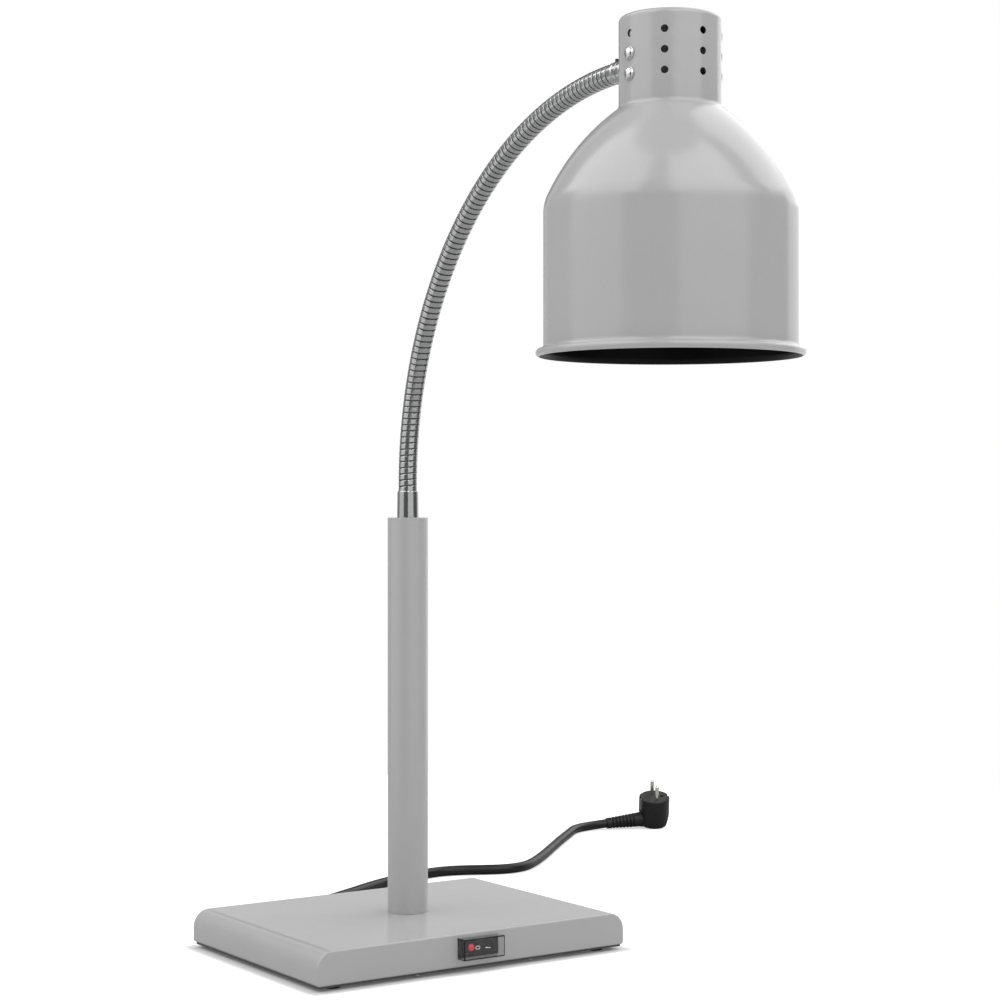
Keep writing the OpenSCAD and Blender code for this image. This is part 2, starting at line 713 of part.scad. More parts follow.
// The switch's leads end on the block's face, below the lamp's cores.
switch_lead_drop = 3.2;
module switch_leads() {
    low = lead_low - switch_lead_drop;
    face = block_y - block_d / 2;
    start = [tab_gap, front_y + switch_depth + tab_l - 1.5, switch_z - wire_r - tab_t / 2];
    elbow = [block_step + 10, face - 12, low];
    last = [block_step, face - 6, low];
    color("peru") for (s = [0, 1]) mirror([s, 0, 0]) {
        bar(start, elbow, wire_r);
        translate(elbow) sphere(r = wire_r + 0.3, $fn = 32);
        bar(elbow, last, wire_r);
        translate(last) sphere(r = wire_r + 0.3, $fn = 32);
        bar(last, [block_step, face - slip, low], wire_r);
    }
}

// Where the plug's own directions point: out of its face, and away from the cord.
plug_face_dir = [
    sin(plug_lean) * cos(plug_lean_dir), sin(plug_lean) * sin(plug_lean_dir), cos(plug_lean)
];
plug_lean_axis = [-sin(plug_lean_dir), cos(plug_lean_dir), 0];
plug_cord_dir =
    let(d = [cos(plug_turn), sin(plug_turn), 0], v = plug_lean_axis)
        cos(plug_lean) * d + sin(plug_lean) * cross(v, d) + (1 - cos(plug_lean)) * (v * d) * v;

// The free cord: rings round the route's points, turned square to it.
cord_sides = 10;
function route_point(k) = [cord_route[k][0], cord_route[k][1], cord_route[k][2] + cord_r];
function route_dir(k) =
    let(
        a = k == 0 || k == len(cord_route) - 1 ? route_point(k) : route_point(k - 1),
        b = k == 0 || k == len(cord_route) - 1 ? route_point(k) : route_point(k + 1),
        d = k == 0 ? [0, 1, 0] : k == len(cord_route) - 1 ? plug_cord_dir : b - a
    ) d / norm(d);
function cord_ring(k) =
    let(
        d = route_dir(k),
        side = cross(d, [0, 0, 1]) / norm(cross(d, [0, 0, 1])),
        up = cross(side, d)
    ) [
        for (j = [0 : cord_sides - 1])
            let(t = 360 * (j + 0.5) / cord_sides)
                route_point(k) + (cord_r - 0.05) * (cos(t) * side + sin(t) * up)
    ];
module mains_cord() {
    n = len(cord_route);
    color(black) polyhedron(
        points = [for (k = [0 : n - 1]) each cord_ring(k)],
        faces = [
            [for (j = [0 : cord_sides - 1]) j],
            for (k = [0 : n - 2], j = [0 : cord_sides - 1])
                let(
                    a = k * cord_sides + j,
                    b = k * cord_sides + (j + 1) % cord_sides,
                    c = (k + 1) * cord_sides + (j + 1) % cord_sides,
                    d = (k + 1) * cord_sides + j
                )
                each [[a, d, c], [a, c, b]],
            [for (j = [cord_sides - 1 : -1 : 0]) (n - 1) * cord_sides + j]
        ],
        convexity = 10
    );
}

// The angled plug is drawn standing on its back, with the cord coming along its X axis.
module at_plug() {
    translate([plug_place[0], plug_place[1], plug_back_r * sin(plug_lean)])
        rotate(a = plug_lean, v = plug_lean_axis) rotate([0, 0, plug_turn]) children();
}
plug_cone_r = plug_r - 2;
plug_cone_h = (plug_cone_r - plug_back_r) * tan(plug_lean);
plug_chamfer = 11;
plug_chamfer_tilt = 32;
strip_l = 17;
notch_d = 2.4;
notch_w = 6.4;
pin_seat = 12;
pin_root_r = 2;
socket_x = 10;
socket_r = 2.5;
socket_depth = 14;
module plug_body() {
    color(black) at_plug() difference() {
        union() {
            rotate_extrude($fn = 96) polygon([
                [0, 0], [plug_back_r, 0], [plug_cone_r, plug_cone_h], [plug_r, plug_cone_h + 2.5], [plug_r, plug_h],
                [0, plug_h]
            ]);
            translate([-plug_r, 0, plug_axis_z]) rotate([0, 90, 0])
                cylinder(r1 = plug_axis_z - 1, r2 = plug_axis_z, h = plug_r);
        }
        translate([plug_r - plug_chamfer, -plug_r - past, -past]) rotate([0, plug_chamfer_tilt, 0])
            translate([0, 0, -2 * plug_r]) cube([2 * plug_r, 2 * plug_r + 2 * past, 4 * plug_r]);
        for (s = [-1, 1]) translate([0, s * pin_gap / 2, plug_h - pin_seat])
            cylinder(r = pin_root_r + thread, h = pin_seat + past, $fn = 48);
        translate([socket_x, 0, plug_h - socket_depth]) cylinder(r = socket_r, h = socket_depth + past, $fn = 32);
        for (s = [0, 1]) mirror([s, 0, 0]) translate([plug_r - notch_d, -notch_w / 2, plug_h - strip_l])
            cube([notch_d + past, notch_w, strip_l + past]);
    }
}
module plug_pins() {
    color(steel) at_plug() for (s = [-1, 1]) translate([0, s * pin_gap / 2, plug_h]) {
        translate([0, 0, -pin_seat]) cylinder(r = pin_root_r, h = pin_seat + past, $fn = 48);
        cylinder(r = pin_r, h = pin_l - pin_r, $fn = 48);
        translate([0, 0, pin_l - pin_r]) intersection() {
            sphere(r = pin_r, $fn = 48);
            cylinder(r = pin_r, h = pin_r, $fn = 48);
        }
    }
}
module plug_earth() {
    color(steel) at_plug() for (s = [0, 1]) mirror([s, 0, 0])
        translate([plug_r - notch_d, -notch_w / 2 + 0.4, plug_h - strip_l + slip])
            cube([1, notch_w - 0.8, strip_l - 1]);
}
module plug_boot() {
    pitch = (plug_boot_l - 8) / plug_ribs;
    big = plug_axis_z - 1.3;
    small = cord_r + 1.2;
    color(black) at_plug() translate([-plug_r - plug_boot_l, 0, plug_axis_z]) rotate([0, 90, 0])
        rotate_extrude() polygon([
            [0, 0], [small, 0],
            for (k = [0 : plug_ribs - 1])
                let(z = 4 + k * pitch, r = small + (big - small) * z / plug_boot_l)
                    each [[r, z], [r - 1.3, z + 0.6], [r - 1.3, z + pitch * 0.4], [r, z + pitch * 0.4 + 0.6]],
            [big, plug_boot_l - 2], [big, plug_boot_l], [0, plug_boot_l]
        ]);
}

module at_set_screw() {
    at_arm_end() translate([0, -ferrule_r + 0.6, upper_ferrule_l - 3]) rotate([90, 0, 0]) children();
}
module upper_ferrule() {
    color(steel) difference() {
        at_arm_end() ferrule(upper_ferrule_l, collar_t + 8, neck_root_r + 0.55);
        at_set_screw() translate([0, 0, -past - 1]) cylinder(r = 1.5 + thread, h = 3 * past + 2, $fn = 32);
    }
}
module ferrule_screw() {
    color("dimgray") at_set_screw() translate([0, 0, -0.7]) cylinder(r = 1.5, h = 3.1, $fn = 32);
}
arm_nut_af = 17;
module arm_nut() {
    seat = sqrt(pow(collar_in_r, 2) - pow(arm_nut_af / sqrt(3), 2));
    color(steel) translate([0, -reach + seat - 5 - slip, arm_z]) rotate([-90, 0, 0])
        rotate([0, 0, 30]) hex_nut(arm_nut_af, 5, tail_r + thread);
}

module round_collar(row, angle, r, far) {
    translate([0, -reach, row]) rotate([0, 0, angle]) translate([0, 0, 0]) rotate([90, 0, 0])
        cylinder(r = r, h = far, $fn = 32);
}
module collar() {
    cup_h = collar_h - collar_edge_r;
    color(silver) difference() {
        translate([0, -reach, collar_z]) difference() {
            rotate_extrude($fn = 96) {
                square([collar_r, cup_h]);
                square([collar_r - collar_edge_r, collar_h]);
                translate([collar_r - collar_edge_r, cup_h]) intersection() {
                    circle(r = collar_edge_r);
                    square(collar_edge_r);
                }
            }
            translate([0, 0, -past]) rotate_extrude($fn = 96) {
                square([collar_in_r, cup_h + past]);
                square([collar_r - collar_edge_r, collar_h - collar_t + past]);
                translate([collar_r - collar_edge_r, cup_h + past]) intersection() {
                    circle(r = collar_edge_r - collar_t);
                    square(collar_edge_r);
                }
            }
        }
        for (k = [0 : vent_n - 1], j = [0 : 2]) {
            a = k * 360 / vent_n;
            rear_mid = a == 180 && j == 1;
            side_low = (a == 90 || a == 270) && j < 2;
            r = rear_mid ? tail_r + thread : side_low ? dome_screw_r + slip : vent_r;
            round_collar(vent_rows[j], a, r, collar_r + past);
        }
    }
}
module at_side_screws() {
    for (s = [0, 180], z = screw_rows) translate([0, -reach, z]) rotate([0, 0, s]) rotate([0, 90, 0]) children();
}
dome_nut_h = 4;
module collar_screws() {
    sphere_r = (dome_head_r * dome_head_r + dome_head_h * dome_head_h) / (2 * dome_head_h);
    color("gainsboro") at_side_screws() {
        translate([0, 0, collar_r]) intersection() {
            translate([0, 0, dome_head_h - sphere_r]) sphere(r = sphere_r, $fn = 64);
            cylinder(r = dome_head_r, h = dome_head_h + past, $fn = 64);
        }
        translate([0, 0, bracket_x - bracket_t - dome_nut_h - 1])
            cylinder(r = dome_screw_r, h = collar_r - bracket_x + bracket_t + dome_nut_h + 2, $fn = 32);
    }
}
module collar_nuts() {
    color(steel) at_side_screws() translate([0, 0, bracket_x - bracket_t - dome_nut_h])
        hex_nut(8, dome_nut_h, dome_screw_r + thread);
}
bracket_foot = 8;
module holder_bracket() {
    low = vent_rows[0] - bracket_foot;
    color(steel) translate([0, -reach, 0]) difference() {
        union() {
            translate([-bracket_x, -bracket_w / 2, bracket_top - bracket_t])
                cube([2 * bracket_x, bracket_w, bracket_t]);
            for (s = [-1, 1]) translate([s * (bracket_x - bracket_t / 2) - bracket_t / 2, -bracket_w / 2, low])
                cube([bracket_t, bracket_w, bracket_top - low]);
        }
        for (z = screw_rows) translate([-collar_r, 0, z]) rotate([0, 90, 0])
            cylinder(r = dome_screw_r + slip, h = 2 * collar_r, $fn = 32);
        for (s = [-1, 1]) translate([s * holder_screw_x, 0, bracket_top - bracket_t - past])
            cylinder(r = 2 + slip, h = bracket_t + 2 * past, $fn = 32);
    }
}
holder_screw_x = 12;
module holder_screws() {
    color(steel) for (s = [-1, 1]) translate([s * holder_screw_x, -reach, bracket_top]) {
        cylinder(r = 3.5, h = 2, $fn = 32);
        translate([0, 0, -bracket_t - 9]) cylinder(r = 2, h = bracket_t + 9, $fn = 32);
    }
}
module lamp_holder() {
    color("white") translate([0, -reach, 0]) difference() {
        union() {
            translate([0, 0, holder_z]) cylinder(r = holder_r, h = holder_top - holder_z);
            translate([0, 0, holder_z + 8]) cylinder(r = holder_r + 1.5, h = 4);
        }
        translate([0, 0, holder_z - past]) cylinder(r = shell_in_r + shell_t + slip, h = shell_top - holder_z + past);
        translate([0, 0, shell_top - past]) cylinder(r = contact_r + slip, h = contact_h + past, $fn = 32);
        for (s = [-1, 1]) translate([s * holder_screw_x, 0, holder_top - 10])
            cylinder(r = 2 + thread, h = 10 + past, $fn = 32);
        translate([0, 0, arm_z]) rotate([-90, 0, 0]) translate([0, 0, holder_r - 4])
            cylinder(r = lead_r + slip, h = 4 + past, $fn = 32);
    }
}
contact_r = 4;
contact_h = 3;
module holder_shell() {
    color("goldenrod") translate([0, -reach, holder_z + 1]) difference() {
        cylinder(r = shell_in_r + shell_t, h = shell_top - holder_z - 1);
        translate([0, 0, -past]) cylinder(r = shell_in_r, h = shell_top - holder_z + 2 * past);
    }
}
module holder_contact() {
    color("goldenrod") translate([0, -reach, cap_top + contact_button + 0.1])
        cylinder(r = contact_r, h = shell_top + contact_h - cap_top - contact_button - 0.1, $fn = 32);
}
contact_button = 1.6;
module head_lead() {
    color("white") translate([0, -reach + holder_r - 4, arm_z]) rotate([-90, 0, 0])
        cylinder(r = lead_r, h = arm_straight + collar_r - holder_r + 4, $fn = 32);
}
module bulb_cap() {
    thread_n = 5;
    thread_h = (cap_l - 6) / thread_n;
    color("gainsboro") translate([0, -reach, holder_z]) rotate_extrude() polygon([
        [0, 0], [cap_r, 0], [cap_r, 3],
        for (k = [0 : thread_n - 1])
            each [[cap_r - 0.7, 3 + (k + 0.25) * thread_h], [cap_r, 3 + (k + 0.75) * thread_h]],
        [cap_r - 1.5, cap_l - 2], [6, cap_l], [4.5, cap_l + contact_button], [0, cap_l + contact_button]
    ]);
}
// Half of the bulb's outline, drawn in by d: a neck, a flowing flank and a flat dome below.
// Fractions of the bulb's length below the cap, with fractions of its radius.
function bulb_line(d) = [
    for (p = [
        [0, 0.205], [0.05, 0.22], [0.12, 0.26], [0.22, 0.36], [0.34, 0.53], [0.46, 0.71], [0.56, 0.85], [0.65, 0.95],
        [0.72, 0.99], [0.77, 1], [0.82, 0.97], [0.87, 0.87], [0.92, 0.68], [0.96, 0.45], [0.99, 0.18]
    ])
        [max(p[1] * bulb_r - d, 0.5), -p[0] * (bulb_l - d)]
];
module bulb_glass() {
    outer = bulb_line(0);
    inner = bulb_line(bulb_t);
    color([0.75, 0.1, 0.08]) translate([0, -reach, holder_z]) rotate_extrude($fn = 96) polygon([
        each outer, [0, -bulb_l], [0, -bulb_l + bulb_t],
        for (k = [len(inner) - 1 : -1 : 0]) inner[k]
    ]);
}

// The shade's wall, elbow and shoulder drawn in by d, from the collar down to the rim.
shoulder_top = [collar_r + 0.6, collar_z];
shoulder_low = [shade_r, elbow_z];
shoulder_chord = shoulder_top - shoulder_low;
shoulder_mid = (shoulder_top + shoulder_low) / 2;
shoulder_off = sqrt(pow(shoulder_r, 2) - pow(norm(shoulder_chord) / 2, 2));
shoulder_centre = shoulder_mid
    - shoulder_off * [shoulder_chord[1], -shoulder_chord[0]] / norm(shoulder_chord);
elbow_centre = [
    shade_r - elbow_r,
    shoulder_centre[1] + sqrt(pow(shoulder_r - elbow_r, 2) - pow(shade_r - elbow_r - shoulder_centre[0], 2))
];
elbow_dir = atan2(elbow_centre[1] - shoulder_centre[1], elbow_centre[0] - shoulder_centre[0]);
top_dir = atan2(shoulder_top[1] - shoulder_centre[1], shoulder_top[0] - shoulder_centre[0]);
shoulder_steps = 12;
elbow_steps = 4;
function shade_line(d) = [
    for (k = [0 : shoulder_steps])
        let(t = top_dir + (elbow_dir - top_dir) * k / shoulder_steps)
            shoulder_centre + (shoulder_r - d) * [cos(t), sin(t)],
    for (k = [1 : elbow_steps])
        let(t = elbow_dir * (1 - k / elbow_steps))
            elbow_centre + (elbow_r - d) * [cos(t), sin(t)]
];
bead_centre = [shade_r + bead_r - 0.1, rim_z];
bead_line = [for (t = [110 : -18 : -160]) bead_centre + bead_r * [cos(t), sin(t)]];
module shade() {
    outer = shade_line(0);
    inner = shade_line(shade_t);
    up_r = collar_in_r - slip;
    color(silver) translate([0, -reach, 0]) rotate_extrude($fn = 128) polygon([
        [up_r, collar_z + upstand_h], [up_r, collar_z], [shoulder_top[0], collar_z], each outer,
        [shade_r, rim_z + bead_r + 4], [shade_r + 0.35, rim_z + bead_r + 2],
        [shade_r + 1.2, rim_z + bead_r + 0.7], each bead_line, [shade_r - shade_t, rim_z],
        for (k = [len(inner) - 1 : -1 : 0]) inner[k],
        [up_r - shade_t, collar_z - 1.2], [up_r - shade_t, collar_z + upstand_h]
    ]);
}

origin_back = (reach + bead_centre[0] + bead_r - boot_end) / 2;
module at_middle() {
    translate([0, origin_back, 0]) children();
}

at_middle() base_cover();
at_middle() bottom_plate();
at_middle() ballast_plate();
at_middle() rubber_feet();
at_middle() foot_screws();
at_middle() foot_nuts();
at_middle() cover_screws();
at_middle() column_tube();
at_middle() column_plug();
at_middle() column_bolts();
at_middle() column_bush();
at_middle() lower_ferrule();
at_middle() neck_foot();
at_middle() switch_body();
at_middle() switch_tabs();
at_middle() switch_splash_cover();
at_middle() switch_rocker();
at_middle() switch_lens();
at_middle() terminal_block();
at_middle() terminal_screws();
at_middle() earth_stud();
at_middle() earth_nut();
at_middle() cord_clamp();
at_middle() clamp_screws();
at_middle() cord_tail();
at_middle() cord_boot();
at_middle() lamp_lead();
at_middle() switch_leads();
at_middle() mains_cord();
at_middle() plug_body();
at_middle() plug_pins();
at_middle() plug_earth();
at_middle() plug_boot();
at_middle() neck_piece(1);  // neck_1
at_middle() neck_piece(2);  // neck_2
at_middle() neck_piece(3);  // neck_3
at_middle() neck_piece(4);  // neck_4
at_middle() neck_piece(5);  // neck_5
at_middle() neck_piece(6);  // neck_6
at_middle() neck_piece(7);  // neck_7
at_middle() neck_piece(8);  // neck_8
at_middle() neck_tip();
at_middle() upper_ferrule();
at_middle() ferrule_screw();
at_middle() arm_nut();
at_middle() collar();
at_middle() collar_screws();
at_middle() collar_nuts();
at_middle() holder_bracket();
at_middle() holder_screws();
at_middle() lamp_holder();
at_middle() holder_shell();
at_middle() holder_contact();
at_middle() head_lead();
at_middle() shade();
at_middle() bulb_cap();
at_middle() bulb_glass();
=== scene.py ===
# %% [markdown]
# # A food warming lamp
# A heat bulb hangs in a vented shade over the plates. The shade is held by a neck of wound steel, which
# bends and stays where it is put, on a column and a heavy base. Every moving piece and every bolt comes in
# with the frame. This script gives the lamp its surfaces: smooth painted sheet, wound steel, rubber, glass
# and a cord.

import math

import bmesh
import bpy
import numpy as np
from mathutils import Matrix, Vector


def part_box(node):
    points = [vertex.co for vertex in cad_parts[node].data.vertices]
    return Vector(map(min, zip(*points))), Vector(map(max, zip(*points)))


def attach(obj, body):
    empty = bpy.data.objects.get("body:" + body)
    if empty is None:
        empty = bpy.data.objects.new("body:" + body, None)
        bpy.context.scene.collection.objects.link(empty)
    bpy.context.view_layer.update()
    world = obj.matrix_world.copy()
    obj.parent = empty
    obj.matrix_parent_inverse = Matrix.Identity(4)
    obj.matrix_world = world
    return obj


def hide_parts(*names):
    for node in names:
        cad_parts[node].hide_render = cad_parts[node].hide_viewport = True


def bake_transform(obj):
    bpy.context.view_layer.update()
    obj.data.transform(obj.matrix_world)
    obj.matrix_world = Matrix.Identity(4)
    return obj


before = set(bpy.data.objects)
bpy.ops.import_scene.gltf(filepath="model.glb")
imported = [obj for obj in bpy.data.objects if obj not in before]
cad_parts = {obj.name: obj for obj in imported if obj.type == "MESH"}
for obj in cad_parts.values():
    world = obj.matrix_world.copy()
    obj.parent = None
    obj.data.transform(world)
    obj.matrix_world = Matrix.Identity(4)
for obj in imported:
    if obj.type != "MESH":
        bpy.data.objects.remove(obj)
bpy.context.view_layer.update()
scene = bpy.context.scene
scene.view_settings.view_transform = "Standard"

# %% [markdown]
# ## Places
# All shapes here are worked out in millimetres and become metres only when a mesh is made. A place is read
# from the boxes of the frame's nodes, so that each surface sits where its solid does.

# %% Read the main places from the frame
MM = 0.001


def corners_of(node):
    """Lowest and highest corner of a node, in millimetres."""
    low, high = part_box(node)
    return np.array(low) / MM, np.array(high) / MM


def middle_of(node):
    """Middle of a node's box, in millimetres."""
    return sum(corners_of(node)) / 2


cover_low, cover_high = corners_of("base_cover")
tube_low, tube_high = corners_of("column_tube")
collar_low, collar_high = corners_of("collar")
column = middle_of("column_tube")
head = middle_of("collar")
column_top = tube_high[2]
column_r = (tube_high[0] - tube_low[0]) / 2
collar_r = (collar_high[0] - collar_low[0]) / 2
arm_z = collar_low[2] + 39
front_y = cover_low[1]
rear_y = cover_high[1]
print("column at y =", round(column[1], 2), "and head at y =", round(head[1], 2))

# %% [markdown]
# ## Camera
# The picture looks at the lamp from the left of its front, level with the middle of the column, through a
# long lens. The camera is placed from the column, with its axis level, so that upright edges stay upright.

# %% Place the camera
eye_from_column = np.array([-1087.8, -1753.4])
eye_height = 422.6
eye_turn = -34.23
camera_data = bpy.data.cameras.new("camera")
camera_data.sensor_width = 36
camera_data.lens = 78.69
camera_data.clip_end = 60
camera = bpy.data.objects.new("camera", camera_data)
scene.collection.objects.link(camera)
camera.location = np.array([*(column[:2] + eye_from_column), eye_height]) * MM
camera.rotation_euler = (math.pi / 2, 0, math.radians(eye_turn))
scene.camera = camera
print("camera at", [round(v, 3) for v in camera.location])

# %% [markdown]
# ## Grids of points
# Every new surface is a grid: rows run along a profile or a path, and columns run round it. Numpy works the
# whole grid out at once. One function turns a grid into faces, closes its seam, and makes triangles where a
# row shrinks to a point. Another gathers such skins in a mesh, with a material for each zone of rows.

# %% Turn a grid into faces


def grid_skin(points, loop_rows=False, loop_columns=True, zones=None):
    """One face for each cell between two rows and two columns. A row whose points all meet is a pole."""
    rows, columns = points.shape[:2]
    number = np.arange(rows * columns).reshape(rows, columns)
    pole = np.ptp(points, axis=1).max(axis=1) < 1e-6
    number[pole] = number[pole][:, :1]
    row, column_no = np.meshgrid(
        np.arange(rows - (not loop_rows)), np.arange(columns - (not loop_columns)), indexing="ij"
    )
    row, left = row.ravel(), column_no.ravel()
    below, right = (row + 1) % rows, (left + 1) % columns
    faces = np.stack([number[row, left], number[row, right], number[below, right], number[below, left]], 1)
    across = np.stack([left, left + 1, left + 1, left], 1) / columns
    along = np.stack([row, row, row + 1, row + 1], 1) / rows
    zone = np.zeros((rows, 1), int) if zones is None else np.asarray(zones, int).reshape(rows, -1)
    zone = np.broadcast_to(zone, (rows, columns))
    return {
        "points": points.reshape(-1, 3),
        "faces": faces,
        "uv": np.stack([across, along], 2),
        "zone": zone[row, left],
    }


def facing_out(skin):
    """The skin with its faces turned round if the volume it closes, a sum of triple products, is
    negative."""
    a, b, c, d = (skin["points"][skin["faces"][:, k]] for k in range(4))
    volume = np.sum(a * np.cross(b, c)) + np.sum(a * np.cross(c, d))
    if volume < 0:
        skin = dict(skin, faces=skin["faces"][:, ::-1], uv=skin["uv"][:, ::-1])
    return skin


# %% Gather skins in a piece


def make_piece(name, skins, finishes, body, node_names=(), sharp=32, weld=False):
    """A mesh object at the origin from several skins. Corners sharper than the given angle stay crisp."""
    points, corners, sizes, uvs, zones = [], [], [], [], []
    first = 0
    for skin in skins if weld else map(facing_out, skins):
        same = skin["faces"] == np.roll(skin["faces"], -1, axis=1)
        pointed = same.any(axis=1)
        for mask, sides in ((~pointed, 4), (pointed, 3)):
            keep = ~same[mask]
            corners.append(skin["faces"][mask][keep] + first)
            sizes.append(np.full(mask.sum(), sides))
            uvs.append(skin["uv"][mask][keep])
            zones.append(skin["zone"][mask])
        points.append(skin["points"])
        first += len(skin["points"])
    used, corners = np.unique(np.concatenate(corners), return_inverse=True)
    faces = np.split(corners, np.cumsum(np.concatenate(sizes))[:-1])
    mesh = bpy.data.meshes.new(name)
    mesh.from_pydata(np.concatenate(points)[used] * MM, [], faces)
    mesh.polygons.foreach_set("material_index", np.concatenate(zones).astype(np.int32))
    layer = mesh.uv_layers.new(name="UVMap")
    layer.data.foreach_set("uv", np.concatenate(uvs).astype(np.float32).ravel())
    if weld:
        close_seams(mesh)
    for finish in finishes:
        mesh.materials.append(finish)
    mesh.shade_smooth()
    mesh.set_sharp_from_angle(angle=math.radians(sharp))
    mesh.update()
    piece = bpy.data.objects.new(name, mesh)
    scene.collection.objects.link(piece)
    if body:
        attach(piece, body)
    if node_names:
        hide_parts(*node_names)
    print(name, len(mesh.polygons), "faces")
    return piece


def close_seams(mesh):
    """Merges points that lie on each other and turns all faces outwards."""
    work = bmesh.new()
    work.from_mesh(mesh)
    bmesh.ops.remove_doubles(work, verts=work.verts, dist=0.02 * MM)
    bmesh.ops.recalc_face_normals(work, faces=work.faces)
    work.to_mesh(mesh)
    work.free()


# %% [markdown]
# ## Profiles, turning and blocks
# Most of the lamp is turned or spun, so a short list of corners with their fillets says it all: each fillet
# is an arc that touches both edges of its corner. A turned skin carries the profile round an axis. A stack
# of rounded rectangles makes the base and the switch.

# %% Round a profile and turn it


def rounded(corners, loop=False, steps=6, guard=0.4):
    """Corners are (radius, height, fillet). The arc's centre lies one fillet inside both edges. A
    guard point just before and after each arc keeps the straight stretches evenly shaded."""
    corners = np.array(corners, float)
    count = len(corners)
    stretches = []
    for k, (x, y, fillet) in enumerate(corners):
        here = corners[k, :2]
        if fillet == 0 or (not loop and k in (0, count - 1)):
            stretches.append(here[None])
            continue
        into = here - corners[k - 1, :2]
        out = corners[(k + 1) % count, :2] - here
        before, after = (min(guard, 0.15 * np.linalg.norm(edge)) for edge in (into, out))
        into /= np.linalg.norm(into)
        out /= np.linalg.norm(out)
        bend = math.atan2(into[0] * out[1] - into[1] * out[0], into @ out)
        start = here - into * fillet * math.tan(abs(bend) / 2)
        centre = start + math.copysign(fillet, bend) * np.array([-into[1], into[0]])
        angle = np.linspace(0, bend, steps + 1)[:, None]
        arm, square = start - centre, np.array([centre[1] - start[1], start[0] - centre[0]])
        arc = centre + np.cos(angle) * arm + np.sin(angle) * square
        stretches += [arc[:1] - before * into, arc, arc[-1:] + after * out]
    return np.concatenate(stretches)


def arc(centre, radius, turn):
    """Centre + radius times the cosine and sine of each turn."""
    return centre + radius * np.stack([np.cos(turn), np.sin(turn)], -1)


def axes_along(direction):
    """Three unit directions as rows: two square to the given one, and that one last."""
    along = np.array(direction, float) / np.linalg.norm(direction)
    side = np.cross([0, 1, 0] if abs(along[2]) > 0.9 else [0, 0, 1], along)
    side /= np.linalg.norm(side)
    return np.stack([side, np.cross(along, side), along])


def capped(rings, first, last):
    """The rings with a pole before them and one after them."""
    ends = [np.broadcast_to(point, (1, rings.shape[1], 3)) for point in (first, last)]
    return np.concatenate([ends[0], rings, ends[1]])


def turned(profile, foot, direction=(0, 0, 1), turns=96, loop=False, zones=None, start=0.0):
    """Foot + height along the axis + radius times the cosine and sine of the turn in the two square
    directions."""
    angle = math.radians(start) + np.arange(turns) * 2 * math.pi / turns
    radius, height = profile[:, :1], profile[:, 1:2]
    local = np.stack([radius * np.cos(angle), radius * np.sin(angle), height + 0 * angle], 2)
    return grid_skin(local @ axes_along(direction) + foot, loop_rows=loop, zones=zones)


# %% Stack rounded rectangles


def rounded_rectangles(half_u, half_v, radius, steps=5, guard=0.5):
    """Rows of points round rectangles: each corner's centre lies a radius inside it, and its quarter
    turn follows, with a guard point on the straight stretch before and after it."""
    half_u, half_v, radius = (np.asarray(v)[:, None, None] for v in (half_u, half_v, radius))
    turn = np.concatenate([[0], np.linspace(0, 1, steps + 1), [1]]) * math.pi / 2
    past = np.concatenate([[-1], np.zeros(steps + 1), [1]])[None, None, :]
    past = past * np.clip(0.4 * (np.minimum(half_u, half_v) - radius), 0, guard)
    angle = turn[None, None, :] + np.arange(4)[None, :, None] * math.pi / 2
    sign_u = np.array([1, -1, -1, 1])[None, :, None]
    sign_v = np.array([1, 1, -1, -1])[None, :, None]
    u = sign_u * (half_u - radius) + radius * np.cos(angle) - past * np.sin(angle)
    v = sign_v * (half_v - radius) + radius * np.sin(angle) + past * np.cos(angle)
    return np.stack([u.reshape(u.shape[0], -1), v.reshape(v.shape[0], -1)], 2)


def stack(rows, centre, direction=(0, 0, 1), steps=5, zones=None, loop=False):
    """Rows are (half width, half depth, corner radius, height) along the direction; a row of no size
    is a pole."""
    half_u, half_v, corner, height = np.array(rows, float).T
    ring = rounded_rectangles(half_u, half_v, corner, steps)
    local = np.concatenate([ring, np.broadcast_to(height[:, None, None], ring.shape[:2] + (1,))], 2)
    return grid_skin(local @ axes_along(direction) + centre, loop_rows=loop, zones=zones)


def block_rows(half_u, half_v, low, high, corner, edge, steps=5, guard=0.4):
    """Rows of a block whose ends are rounded: a row near an end is drawn in by the edge radius less
    its sine."""
    turn = np.linspace(0, math.pi / 2, steps + 1)
    inset = np.concatenate([[edge + guard], edge * (1 - np.sin(turn)), [0]])
    rise = np.concatenate([[0], edge * (1 - np.cos(turn)), [edge + guard]])
    inset, height = np.concatenate([inset, inset[::-1]]), np.concatenate([low + rise, (high - rise)[::-1]])
    body = np.stack([half_u - inset, half_v - inset, np.maximum(corner - inset, 0.05), height], 1)
    return np.concatenate([[[0, 0, 0, low]], body, [[0, 0, 0, high]]])


# %% [markdown]
# ## Shader maths
# A finish is written as a sum: a small class wraps a socket, and plus, minus and times add a Math node
# each. All other nodes come from one method, which sets what the node is before it fills its sockets.

# %% Wrap sockets so that they can be added and multiplied


class Wire:
    """A value in a graph. An expression on wires adds the Math nodes that work it out."""

    def __init__(self, graph, socket):
        self.graph = graph
        self.socket = socket

    def maths(self, operation, *values):
        return self.graph.node("ShaderNodeMath", {"operation": operation}, dict(enumerate(values)))

    def __add__(self, other):
        return self.maths("ADD", self, other)

    def __sub__(self, other):
        return self.maths("SUBTRACT", self, other)

    def __mul__(self, other):
        return self.maths("MULTIPLY", self, other)

    def step(self, low, high):
        """0 below low, 1 above high, and a straight ramp between."""
        return self.graph.node("ShaderNodeMapRange", {}, {"Value": self, "From Min": low, "From Max": high})

    __radd__ = __add__
    __rmul__ = __mul__


